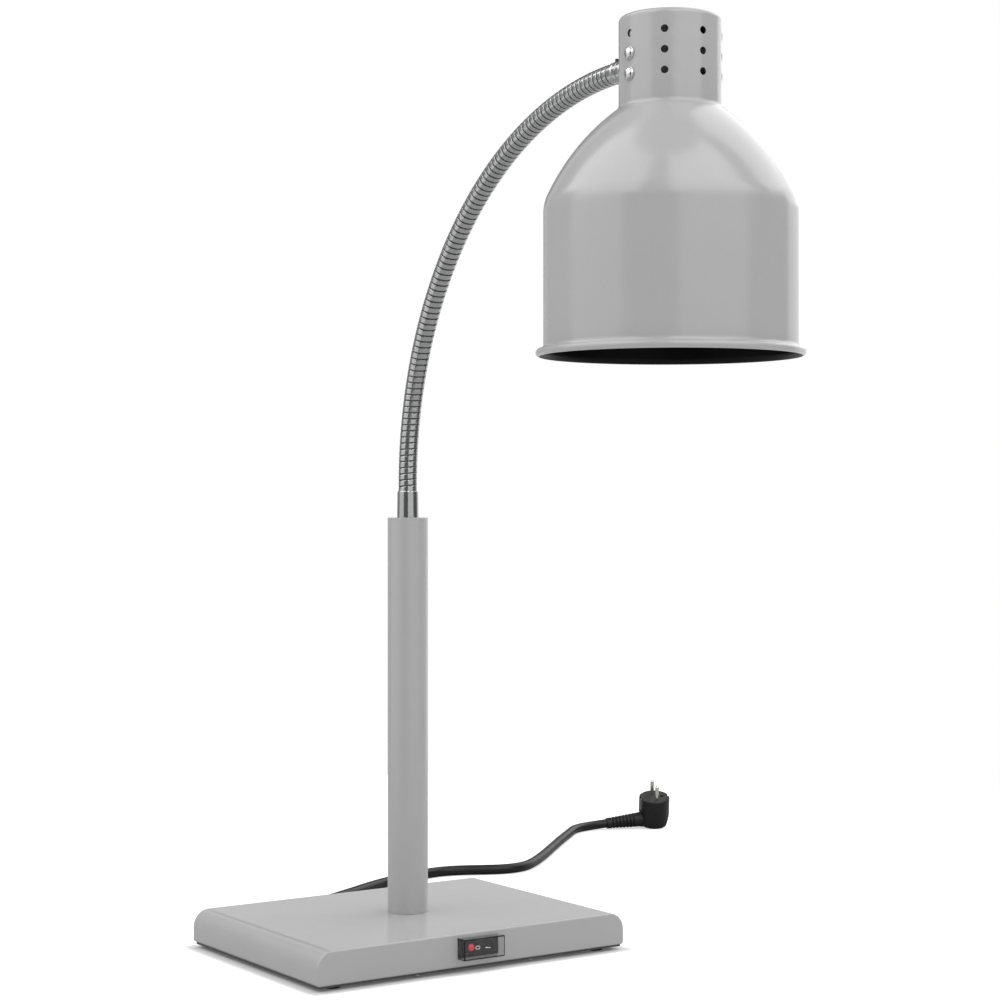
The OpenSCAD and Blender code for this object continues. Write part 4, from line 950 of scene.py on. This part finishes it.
def set_screw():
    """A short screw with a hexagon socket: the dip's edge is the distance to the hexagon's sides."""
    profile = np.concatenate([
        rounded([(0, -0.7, 0), (1.5, -0.7, 0), (1.5, 2.4, 0.25), (1.1, 2.4, 0)]),
        np.stack([np.linspace(1.05, 0, 9), np.full(9, 2.4)], 1),
    ])
    skin = turned(profile, np.zeros(3), turns=48)
    x, y, z = skin["points"].T
    turn = np.arctan2(y, x)
    across = np.hypot(x, y) * np.cos((turn + math.pi / 6) % (math.pi / 3) - math.pi / 6)
    dip = 1 - smooth_step(across, 0.7, 0.8)
    points = np.stack([x, y, z - 1.2 * dip * (z > 2.3)], 1)
    foot = collar_rear + [0, 29, 9.5]
    return dict(skin, points=points @ axes_along((0, 0, 1)) + foot)


make_piece("ferrule_set_screw", [set_screw()], [black_steel], "head", ["ferrule_screw"])

# %% [markdown]
# ## Wound neck
# The neck is a round wire wound tightly over a strip, so that it bends anywhere and holds. Its radius is a
# wave that climbs one pitch for each turn: the phase is the length along the neck in pitches less the turn.
# The grooves between the turns are painted darker, a painted shade, since little light gets into them.
# There is a stretch for each joint, with the joint at its middle.

# %% Wind the neck
first_joint, joint_step, joint_n = 5, 10, 9
rib_crown, rib_depth, groove_from, painted_shade_from = 0.04, 0.36, 0.7, 0.74
into_lower, into_upper = 12, 14


def neck_line(run):
    """The neck's axis at a length from the start of its bend: straight up, a quarter turn, then level."""
    turn = np.clip(run / bend_r, 0, math.pi / 2)
    y = bend_r * (np.cos(turn) - 1) - np.maximum(run - quarter, 0)
    z = bend_z + bend_r * np.sin(turn) + np.minimum(run, 0)
    outward = np.stack([0 * turn, np.cos(turn), np.sin(turn)], 1)
    return np.stack([0 * run, y, z], 1) + on_column, outward


def wound_stretch(start, end, columns=44):
    """Radius = crest, a little crowned, less the depth times a smooth step from the crest into the
    groove."""
    run = np.linspace(start, end, int((end - start) / (rib_pitch / 18)) + 1)
    centre, outward = neck_line(run)
    angle = np.arange(columns) * 2 * math.pi / columns
    phase = (run[:, None] / rib_pitch - angle / (2 * math.pi)) % 1
    from_crest = np.abs(2 * phase - 1)
    rib = 1 - rib_crown * from_crest**2 - rib_depth * smooth_step(from_crest, groove_from, 1)
    shown = smooth_step(run, -11, -7.5) * (1 - smooth_step(run, quarter - 12, quarter - 9))
    radius = neck_root_r + (neck_r - neck_root_r) * rib * shown[:, None]
    cosine, sine = np.cos(angle)[None, :, None], np.sin(angle)[None, :, None]
    rings = centre[:, None] + radius[:, :, None] * (sine * outward[:, None] + cosine * np.array([1, 0, 0]))
    # Faces deep in a groove take the painted-shade finish.
    groove = (from_crest > painted_shade_from) & (shown[:, None] > 0.5)
    zones = np.concatenate([groove[:1], groove, groove[-1:]])
    return grid_skin(capped(rings, centre[0], centre[-1]), zones=zones)


def wind_neck():
    """Each stretch runs half a step to both sides of its joint, and the end ones run on into their
    ferrules."""
    step = rib_pitch * joint_step
    for k in range(joint_n):
        joint = rib_pitch * (first_joint + k * joint_step)
        start = joint - step / 2 if k else -into_lower
        end = joint + step / 2 if k < joint_n - 1 else quarter + into_upper
        nodes = [f"neck_{k + 1}"] if k < joint_n - 1 else ["neck_tip"]
        nodes += ["neck_foot"] if k == 0 else []
        skins, finishes = [wound_stretch(start, end)], [neck_steel, groove_shade_steel]
        piece = make_piece(f"wound_neck_{k + 1}", skins, finishes, None, nodes, 60)
        ends = neck_line(joint + np.array([-0.45, 0.45]) * step)[0] * MM
        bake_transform(piece)


wind_neck()

# %% [markdown]
# ## Collar
# The collar is a deep cup of sheet with three rows of vent holes. Its wall is made of cells, one for each
# hole: in the unrolled sheet a cell's points run from a rectangle to the hole's circle, through the sheet,
# and back to the rectangle on the inside. The cells, the top and the lower edge meet at the same points and
# are joined.

# %% Make the vented collar
collar_t, collar_edge_r = 1.0, 4.0
vent_r, vent_pitch, vent_n = 3.0, 16.0, 8
tail_hole_r, screw_hole_r = 6.05, 2.6
across_n, up_n = 10, 6
on_head = np.array([*head[:2], 0])


def cell_border():
    """Points round a cell as shares of its half width and half height, from one corner all the way
    round."""
    across, up = np.linspace(-1, 1, across_n + 1)[:-1], np.linspace(-1, 1, up_n + 1)[:-1]
    one_across, one_up = np.ones(across_n), np.ones(up_n)
    u = np.concatenate([across, one_up, -across, -one_up])
    v = np.concatenate([-one_across, up, one_across, -up])
    return u, v


def vent_cell(turn, height, hole_r):
    """Rows go from the border to the hole, down its wall with broken edges, and back; depth is taken
    off the collar's radius, and a length across the cell is the turn times the radius."""
    u, v = cell_border()
    half_u, half_v = collar_r * math.pi / vent_n, vent_pitch / 2
    aim = np.arctan2(v * half_v, u * half_u)
    share = np.array([1, 0.5, 0.15, 0, 0, 0, 0, 0.15, 0.5, 1])[:, None]
    radius = hole_r + np.array([0, 0, 0, 0.25, 0, 0, 0.25, 0, 0, 0])[:, None]
    depth = np.array([0, 0, 0, 0, 0.25, 0.75, 1, 1, 1, 1])[:, None] * collar_t
    across = (1 - share) * radius * np.cos(aim) + share * u * half_u
    up = (1 - share) * radius * np.sin(aim) + share * v * half_v
    angle = math.radians(turn) + across / collar_r
    out = collar_r - depth
    points = np.stack([out * np.sin(angle), -out * np.cos(angle), height + up], 2)
    zones = np.where(depth[:, 0] > 0.9 * collar_t, 1, 0)
    return grid_skin(points + on_head, zones=zones)


def hole_for(turn, row):
    """The neck's tail passes the middle of the back, and dome screws close the two lower holes at each
    side."""
    if turn == 180 and row == 0:
        return tail_hole_r
    return screw_hole_r if turn in (90, 270) and row < 1 else vent_r


collar_skins = [
    vent_cell(turn, arm_z + row * vent_pitch, hole_for(turn, row))
    for turn in range(0, 360, 360 // vent_n) for row in (-1, 0, 1)
]
band_low, band_high = arm_z - 1.5 * vent_pitch, arm_z + 1.5 * vent_pitch
collar_in_r = collar_r - collar_t
collar_turns, half_cell = across_n * vent_n, 180 / vent_n
hem = rounded([
    (collar_r, band_low, 0), (collar_r, collar_low[2], 0.3), (collar_in_r, collar_low[2], 0.3),
    (collar_in_r, band_low, 0),
], steps=3)
top = rounded([
    (collar_r, band_high, 0), (collar_r, collar_high[2], collar_edge_r), (0, collar_high[2], 0),
], steps=12)
top_in = rounded([
    (collar_in_r, band_high, 0), (collar_in_r, collar_high[2] - collar_t, collar_edge_r - collar_t),
    (0, collar_high[2] - collar_t, 0),
], steps=6)
inside = [0] * 6 + [1] * (len(hem) - 6)
collar_skins += [
    turned(hem, on_head, turns=collar_turns, start=half_cell, zones=inside),
    turned(top, on_head, turns=collar_turns, start=half_cell),
    turned(top_in, on_head, turns=collar_turns, start=half_cell, zones=[1] * len(top_in)),
]
make_piece(
    "vented_collar", collar_skins, [silver_paint, black_paint], "head", ["collar"], weld=True
)

# %% [markdown]
# ## Dome screws
# Two polished dome screws on each side of the collar hold the bracket of the lamp holder inside it.

# %% Make the dome screws
dome_r, dome_h = 5.6, 3.4


def dome_screw(side, height):
    """A thin washer edge, then a dome whose height is a circle's arc over the rest of the radius."""
    turn = np.linspace(0.02, 1, 14) * math.pi / 2
    dome = arc([0, 0.9], np.array([dome_r - 0.7, dome_h - 0.9]), turn)
    flange_edge = rounded([
        (0, -4, 0), (2.4, -4, 0), (2.4, 0, 0), (dome_r, 0, 0), (dome_r, 0.8, 0.35), (dome_r - 0.65, 0.8, 0),
    ])
    foot = np.array([head[0] + side * collar_r, head[1], height])
    dome[-1, 0] = 0
    return turned(np.concatenate([flange_edge, dome]), foot, (side, 0, 0), 64)


make_piece(
    "dome_screw_heads",
    [dome_screw(side, arm_z + row * vent_pitch) for side in (-1, 1) for row in (-1, 0)],
    [dome_chrome], "head", ["collar_screws"], sharp=40,
)

# %% [markdown]
# ## Shade
# The shade is spun from one disc: an upstand in the collar, a shoulder that is one long arc, a tight elbow,
# a straight wall and a rolled rim, with a small hollow fillet against the collar. The outer and inner walls
# are the same line drawn in by the sheet's thickness, turned round the axis. The outside is silver, and the
# inside is black down to the underside of the rim.

# %% Spin the shade
shade_r, shade_t, elbow_r, shoulder_r, bead_r = 101.0, 0.8, 32.0, 177.6, 3.1
flare_r = 5.0
rim_z = corners_of("shade")[0][2] + bead_r
shoulder_z = collar_low[2]
bead_centre = np.array([shade_r + bead_r - 0.1, rim_z])
shoulder_centre = np.array([-63.2, rim_z + 49.8])
against_collar, black_turn = collar_r + 0.02, 82


def spun_line(inset):
    """Shoulder and elbow as arcs. The elbow's centre lies an elbow radius inside both the wall and the
    shoulder."""
    top, centre = np.array([collar_r + 0.6, shoulder_z]), shoulder_centre
    elbow_x = shade_r - elbow_r
    elbow_up = math.sqrt((shoulder_r - elbow_r) ** 2 - (elbow_x - centre[0]) ** 2)
    elbow = np.array([elbow_x, centre[1] + elbow_up])
    meet = math.atan2(*(elbow - centre)[::-1])
    start = math.atan2(*(top - centre)[::-1])
    shoulder = arc(centre, shoulder_r - inset, np.linspace(start, meet, 48))
    bend = arc(elbow, elbow_r - inset, np.linspace(meet, 0, 14)[1:])
    return np.concatenate([shoulder, bend])


def spun_shade():
    """The closed line of the sheet: up the upstand, out over the shoulder, down to the rolled rim, and
    back."""
    outside, inside_line = spun_line(0), spun_line(shade_t)
    up_r, hem_z = collar_r - collar_t - 0.1, shoulder_z - 0.05
    lead_in = np.array([[up_r, shoulder_z + 10], [up_r, hem_z], [against_collar, hem_z]])
    square = (outside[0] - shoulder_centre) / shoulder_r
    hollow_x = against_collar + flare_r
    hollow_up = (flare_r - (hollow_x - outside[0, 0]) * square[0]) / square[1]
    flare_end = math.pi + math.atan2(square[1], square[0])
    flare = arc([hollow_x, outside[0, 1] + hollow_up], flare_r, np.linspace(math.pi, flare_end, 9))
    roll = np.radians(np.arange(113, -161, -9.0))
    bead = arc(bead_centre, bead_r, roll)
    drop = np.array([
        [shade_r, rim_z + 60], [shade_r, rim_z + 9], [shade_r, rim_z + 7], [shade_r + 0.1, rim_z + 5.6],
        [shade_r + 0.5, rim_z + 4.4],
    ])
    back = np.array([[shade_r - shade_t, rim_z + rise] for rise in (0, 2, 60)])
    end = np.array([[up_r - shade_t, shoulder_z - 0.9], [up_r - shade_t, shoulder_z + 10]])
    silver_part = np.concatenate([lead_in, flare, outside, drop])
    black_from = len(silver_part) + np.searchsorted(-roll, math.radians(black_turn))
    profile = np.concatenate([silver_part, bead, back, inside_line[::-1], end])
    zones = np.arange(len(profile)) >= black_from
    return turned(profile, on_head, turns=192, loop=True, zones=zones)


make_piece(
    "spun_shade", [spun_shade()], [silver_paint, black_paint], "head", ["shade"], sharp=40
)

# %% [markdown]
# ## Heat bulb
# The bulb is blown glass: a narrow neck, a flowing flank, its widest turn low down and a flat dome. A
# smooth curve through a few points of its outline is turned round the axis.

# %% Blow the bulb
bulb_r = (bulb_high[0] - bulb_low[0]) / 2
bulb_l = bulb_high[2] - bulb_low[2]
bulb_outline = np.array([
    [0.18, 0], [0.205, 0], [0.22, 0.05], [0.26, 0.12], [0.36, 0.22], [0.53, 0.34], [0.71, 0.46],
    [0.85, 0.56], [0.95, 0.65], [0.99, 0.72], [1, 0.77], [0.97, 0.82], [0.87, 0.87], [0.68, 0.92],
    [0.45, 0.96], [0.18, 0.99],
])
bulb_curve = smooth_curve(bulb_outline * [bulb_r, -bulb_l], 2.0)[0]
bulb_curve = np.concatenate([[[0, 0]], bulb_curve, [[0, -bulb_l]]])
make_piece(
    "blown_bulb", [turned(bulb_curve, on_head + [0, 0, bulb_high[2]], turns=128)], [ruby_glass], "head",
    ["bulb_glass"],
)

# %% [markdown]
# ## Switch
# The switch snaps into the front wall: a black body with a thin bezel, a see-saw rocker with a red pilot
# lens, and a clear box over both that keeps steam out. The rocker stands tipped to its off side. Its marks
# are a nought and a one, raised a hair and laid across the rocker.

# %% Make the switch's body
out_of_wall = (0, -1, 0)
switch_mid = middle_of("switch_splash_cover")
switch_at = np.array([switch_mid[0], front_y, switch_mid[2]])
bezel_half, pocket_half, body_half = (21.2, 8.7), (17.5, 6.3), (18.6, 7.4)
bezel_t = 2.0
body_rows = [
    (0, 0, 0, -20), (*body_half, 0.5, -20), (*body_half, 0.5, 0.02), (*bezel_half, 1.2, 0.02),
    (*bezel_half, 1.2, bezel_t - 0.7), (21.1, 8.6, 1.1, bezel_t - 0.3), (20.8, 8.3, 0.9, bezel_t),
    (20.4, 7.9, 0.8, bezel_t), (17.9, 6.7, 0.6, bezel_t), (17.6, 6.4, 0.5, bezel_t - 0.1),
    (*pocket_half, 0.4, bezel_t - 0.4), (*pocket_half, 0.4, bezel_t - 8), (0, 0, 0, bezel_t - 8),
]
make_piece(
    "switch_housing", [stack(body_rows, switch_at, out_of_wall)], [switch_plastic], "stand", ["switch_body"],
)

# %% Make the rocker with its lens and marks
rocker_half, rocker_width, hinge_in = 16.4, 12.0, 3.0
lens_across, lens_r, lens_crown = 8.0, 3.3, 1.6
tilt = math.radians(-6)


def tipped(points):
    """Points given as across, up and out of the wall, turned about the hinge and put in the front
    wall."""
    across, up, out = points[..., 0], points[..., 1], points[..., 2]
    back = -(out + hinge_in)
    x = across * math.cos(tilt) - back * math.sin(tilt)
    y = across * math.sin(tilt) + back * math.cos(tilt)
    return np.stack([x, y + hinge_in, up], -1) + switch_at


rocker_outline = rounded([
    (-rocker_half, 3.8, 0.5), (0, 2, 60), (13.2, 3.5, 0.25), (13.8, 4.3, 0.2), (14.8, 4.3, 0.2),
    (rocker_half, 3.8, 0.4), (rocker_half, -1.5, 1), (9.4, -5.2, 1.5), (-9.4, -5.2, 1.5),
    (-rocker_half, -1.5, 1),
], loop=True, steps=7, guard=0.3)


def rocker_prism(half, edge, steps=5):
    """The outline swept across the rocker; near each side it is drawn in along its own square
    direction."""
    along = np.roll(rocker_outline, -1, axis=0) - np.roll(rocker_outline, 1, axis=0)
    square = np.stack([along[:, 1], -along[:, 0]], 1) / np.linalg.norm(along, axis=1)[:, None]
    turn = np.linspace(0, math.pi / 2, steps + 1)
    inset = np.concatenate([[edge + 0.3], edge * (1 - np.sin(turn)), [0]])
    rise = np.concatenate([[0], edge * (1 - np.cos(turn)), [edge + 0.3]])
    place = np.concatenate([rise - half, (half - rise)[::-1]])
    inset = np.concatenate([inset, inset[::-1]])
    ring = rocker_outline[None] + inset[:, None, None] * square[None]
    points = np.stack([ring[..., 0], np.broadcast_to(place[:, None], ring.shape[:2]), ring[..., 1]], 2)
    return grid_skin(tipped(capped(points, [0, -half, -1], [0, half, -1])))


def face_out(across):
    """How far the rocker's face stands out at a place across it."""
    face = rocker_outline[rocker_outline[:, 1] > 1.5]
    face = face[np.argsort(face[:, 0])]
    return np.interp(across, face[:, 0], face[:, 1])


def raised_line(path, half_width, loop):
    """A flattened bead along a line on the rocker's face: the line, plus a sideways part and a small
    rise."""
    along = np.roll(path, -1, axis=0) - np.roll(path, 1, axis=0) if loop else np.gradient(path, axis=0)
    square = np.stack([-along[:, 1], along[:, 0]], 1) / np.linalg.norm(along, axis=1)[:, None]
    angle = np.arange(12) * 2 * math.pi / 12
    grow = np.ones(len(path)) if loop else np.sqrt(np.clip(1 - np.linspace(-1, 1, len(path)) ** 8, 0, 1))
    flat = path[:, None] + grow[:, None, None] * half_width * np.cos(angle)[None, :, None] * square[:, None]
    out = face_out(flat[..., 0]) + 0.03 + 0.05 * grow[:, None] * np.sin(angle)[None]
    return grid_skin(tipped(np.concatenate([flat, out[..., None]], 2)), loop_rows=loop)


def rocker_lens():
    """A low dome of a sphere that just fits the lens's radius."""
    seat = face_out(-lens_across) + 0.2
    dome = arc([0, seat], np.array([lens_r, lens_crown]), np.linspace(0, math.pi / 2, 14))
    dome[-1, 0] = 0
    profile = np.concatenate([rounded([(0, -1, 0), (lens_r, -1, 0), (lens_r, seat - 0.2, 0)]), dome])
    angle = np.arange(56) * 2 * math.pi / 56
    radius_at, out = profile[:, :1], profile[:, 1:] + 0 * angle
    points = np.stack([radius_at * np.cos(angle) - lens_across, radius_at * np.sin(angle), out], 2)
    return grid_skin(tipped(points))


make_piece(
    "rocker_paddle", [rocker_prism(rocker_width / 2, 0.5)], [rocker_plastic], "rocker", ["switch_rocker"],
)
make_piece("pilot_lens", [rocker_lens()], [lens_red], "rocker", ["switch_lens"], sharp=50)
nought = arc([-0.9, -0.9], np.array([2.2, 1.35]), np.arange(56) * 2 * math.pi / 56)
one_run = np.linspace(-1, 1, 41)[:, None]
one_bar = np.concatenate([9.2 + 2.5 * one_run, -1.7 + 0 * one_run], 1)
one_flag = np.concatenate([7.5 - 0.8 * one_run, -1.2 - 0.5 * one_run], 1)
make_piece(
    "rocker_marks",
    [raised_line(nought, 0.34, True), raised_line(one_bar, 0.36, False), raised_line(one_flag, 0.3, False)],
    [mark_white], "rocker", (),
)

# %% Make the clear box over the switch
box_low, box_high = corners_of("switch_splash_cover")
box_half = (box_high - box_low) / 2
box_d, box_t = box_high[1] - box_low[1], 0.7
outside_rows = block_rows(box_half[0], box_half[2], 0, box_d, 1.1, 0.8, 5)[9:]
inside_rows = block_rows(box_half[0] - box_t, box_half[2] - box_t, 0, box_d - box_t, 0.5, 0.3, 3)[7:]
box_rows = np.concatenate([
    inside_rows[::-1], [[box_half[0] - box_t, box_half[2] - box_t, 0.5, 0.02]],
    [[box_half[0], box_half[2], 1.1, 0.02]], [[box_half[0], box_half[2], 1.1, 0.8]], outside_rows,
])
row_no = np.arange(len(box_rows))[:, None]
# The front border and the rounded corners get the near-black painted-shade finish; the rest is clear.
corner_columns = np.tile([0, 1, 1, 1, 1, 1, 0, 0], 4) * np.repeat([0, 1, 1, 0], 8)
before_front = row_no < len(box_rows) - 2
front_border = (row_no >= len(box_rows) - 8) & before_front
painted_shade_edge_zone = front_border | (corner_columns[None] > 0) & (row_no > len(inside_rows)) & before_front
make_piece(
    "clear_switch_box", [stack(box_rows, switch_at, out_of_wall, zones=painted_shade_edge_zone)], [clear_wall, clear_edge_painted_shade],
    "stand", ["switch_splash_cover"],
)

# %% [markdown]
# ## Pieces that keep their solids
# Flat and hidden pieces have the right shape already: plates, nuts, the terminal block, the leads and what
# is inside the head. They only need their finish.

# %% Give the other solids their finishes
finishes = {
    grey_paint: ["bottom_plate"],
    rolled_steel: ["ballast_plate", "column_plug"],
    zinc_steel: [
        "foot_nuts", "column_bolts", "terminal_screws", "clamp_screws", "arm_nut", "collar_nuts",
        "holder_bracket", "holder_screws",
    ],
    brass: ["switch_tabs", "earth_stud", "earth_nut", "holder_shell", "holder_contact"],
    block_plastic: ["terminal_block"],
    plug_plastic: ["cord_clamp"],
    cord_rubber: ["cord_tail"],
    sleeve_brown: ["switch_leads"],
    ceramic: ["lamp_holder"],
    mark_white: ["lamp_lead", "head_lead"],
    pin_plate: ["bulb_cap"],
}
for finish, names in finishes.items():
    for name in names:
        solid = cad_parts[name].data
        solid.materials.clear()
        solid.materials.append(finish)
print(sum(map(len, finishes.values())), "solids keep their shape")

# %% [markdown]
# ## Floor, backdrop and light
# The lamp stands in a white studio. The floor and the world are white to the camera, and the light is soft
# and plain: an even sky, three large softboxes high up on the left, in front and on the right, and one
# above. Bare metal and satin paint show their shape by what they mirror, so grey and dark cards and bright
# panels curve round the set and a grey ceiling closes it above. Cards and panels are seen in reflections
# only, and softboxes are not. The floor ends far enough out for the walls to mirror the cards below it.
# Under the base its glow is taken away, a painted shadow that keeps the gap between the feet dark.

# %% Lay the floor


def ray_is(graph, kind):
    """1 for a ray of that kind, else 0."""
    return graph.node("ShaderNodeLightPath", {}, {}, f"Is {kind} Ray")


glow_gap, glow_ramp, glow_in_painted_shadow = 4 * MM, 12 * MM, 0.15
floor_finish = Finish("studio_floor", Roughness=0.9, Specular_IOR_Level=0.0)
floor_finish.shader.inputs["Emission Color"].default_value = shade_of(1.0)
floor_glow = ray_is(floor_finish, "Camera") * 0.5 + ray_is(floor_finish, "Transmission") * 0.5
beyond = None
for axis in (0, 1):
    along = floor_finish.node("ShaderNodeSeparateXYZ", {}, {"Vector": floor_finish.place}, axis)
    offset = along - (cover_low[axis] + cover_high[axis]) / 2 * MM
    reach = cover_half[axis] * MM
    outside_it = offset.maths("ABSOLUTE", offset).step(reach + glow_gap, reach + glow_ramp)
    beyond = outside_it if beyond is None else beyond.maths("MAXIMUM", beyond, outside_it)
# The glow drops to a small share inside the base's footprint: a painted shadow under the base.
floor_glow = floor_glow * (glow_in_painted_shadow + (1 - glow_in_painted_shadow) * beyond)
floor_colour = floor_finish.mix(ray_is(floor_finish, "Glossy"), shade_of(0.66), shade_of(0.42))
floor_finish.set(Base_Color=floor_colour, Emission_Strength=floor_glow)
floor_half = 1300.0
floor_sides = (-floor_half, floor_half)
floor_grid = np.array([[[x, y, -0.05] for x in floor_sides] for y in floor_sides])
make_piece("floor", [grid_skin(floor_grid, loop_columns=False)], [floor_finish.material], None)

# %% Curve the cards round the set
set_centre = on_column + [0, -150, 400]
card_far = 6000.0


def card(name, level, turns, rises):
    """A patch of a sphere: centre + radius times the direction of each turn from straight behind and
    each rise."""
    turn, rise = np.radians(np.linspace(*turns, 33)), np.radians(np.linspace(*rises, 13))[:, None]
    away = np.stack([np.cos(rise) * np.sin(turn), np.cos(rise) * np.cos(turn), np.sin(rise) + 0 * turn], 2)
    finish = Finish(name + "_card", Roughness=0.9, Base_Color=shade_of(0.0), Specular_IOR_Level=0.0)
    finish.shader.inputs["Emission Color"].default_value = shade_of(level)
    finish.shader.inputs["Emission Strength"].default_value = 1.0
    points = set_centre + card_far * away
    piece = make_piece(name, [grid_skin(points, loop_columns=False)], [finish.material], None)
    piece.visible_camera = piece.visible_diffuse = piece.visible_shadow = piece.visible_transmission = False


dark, lower_bright, bright = 0.16, 1.7, 2.6
cards = {
    "front_left_low": (dark, (-150, -101), (-40, 20)),
    "front_left_high": (0.35, (-142, -116), (20, 72)),
    "right_low": (dark, (92, 148), (-40, 20)),
    "right_high": (0.35, (116, 134), (20, 72)),
    "rear_left_low": (0.38, (-44, 7), (-12, 25)),
    "rear_left_high": (0.3, (-17, 7), (25, 66)),
    "rear_strip": (0.6, (7, 16), (-12, 66)),
    "rear_low": (0.58, (16, 48), (-12, 12.5)),
    "rear_high": (0.02, (16, 46), (12.5, 62)),
    "ceiling": (0.4, (-180, 180), (73, 90)),
    "left_panel": (bright, (-101, -44), (25, 70)),
    "left_panel_low": (lower_bright, (-101, -44), (11, 25)),
    "left_panel_side": (bright, (-44, -19), (30, 70)),
    "left_panel_high": (bright, (-114, -101), (25, 70)),
    "front_panel": (2.8, (148, 217), (25, 70)),
    "front_panel_low": (lower_bright, (148, 208), (11, 25)),
    "front_panel_high": (bright, (136, 148), (25, 70)),
    "right_panel": (2.1, (50, 92), (25, 70)),
    "right_panel_low": (lower_bright, (50, 92), (11, 25)),
    "right_panel_high": (2.1, (92, 114), (25, 70)),
}
for card_name, (level, turns, rises) in cards.items():
    card(card_name, level, turns, rises)

# %% Light the set
world = bpy.data.worlds.new("studio")
scene.world = world
world.use_nodes = True
sky = Graph(world.node_tree)
background = world.node_tree.nodes["Background"]
background.inputs["Color"].default_value = shade_of(1.0)
sky_level = 0.87
seen = ray_is(sky, "Camera") + ray_is(sky, "Glossy") + ray_is(sky, "Transmission")
world.node_tree.links.new((sky_level + seen * (1 - sky_level)).socket, background.inputs["Strength"])


def softbox(name, turn, rise, far, size, radiance):
    """A lamp that faces the set from a turn and a rise. Its power is its radiance times its area times
    pi."""
    data = bpy.data.lights.new(name, "AREA")
    data.shape, data.size, data.size_y = "RECTANGLE", *size
    data.energy = radiance * size[0] * size[1] * math.pi
    lamp = bpy.data.objects.new(name, data)
    scene.collection.objects.link(lamp)
    turn, rise = math.radians(turn), math.radians(rise)
    away = np.array([math.cos(rise) * math.sin(turn), math.cos(rise) * math.cos(turn), math.sin(rise)])
    lamp.location = set_centre * MM + far * away
    lamp.rotation_euler = (math.pi / 2 - rise, 0, math.pi - turn)
    lamp.visible_glossy = False
    print(name, [round(v, 2) for v in lamp.location], round(data.energy, 1), "W")


softbox_far = 2.6
softbox("softbox_left", -65, 50, softbox_far, (2.6, 1.35), 1.3)
softbox("softbox_front", 170, 50, softbox_far, (2.4, 1.35), 1.1)
softbox("softbox_right", 80, 42, softbox_far, (2.2, 2.5), 1.6)
softbox("softbox_above", 0, 90, softbox_far, (2.0, 2.0), 0.55)
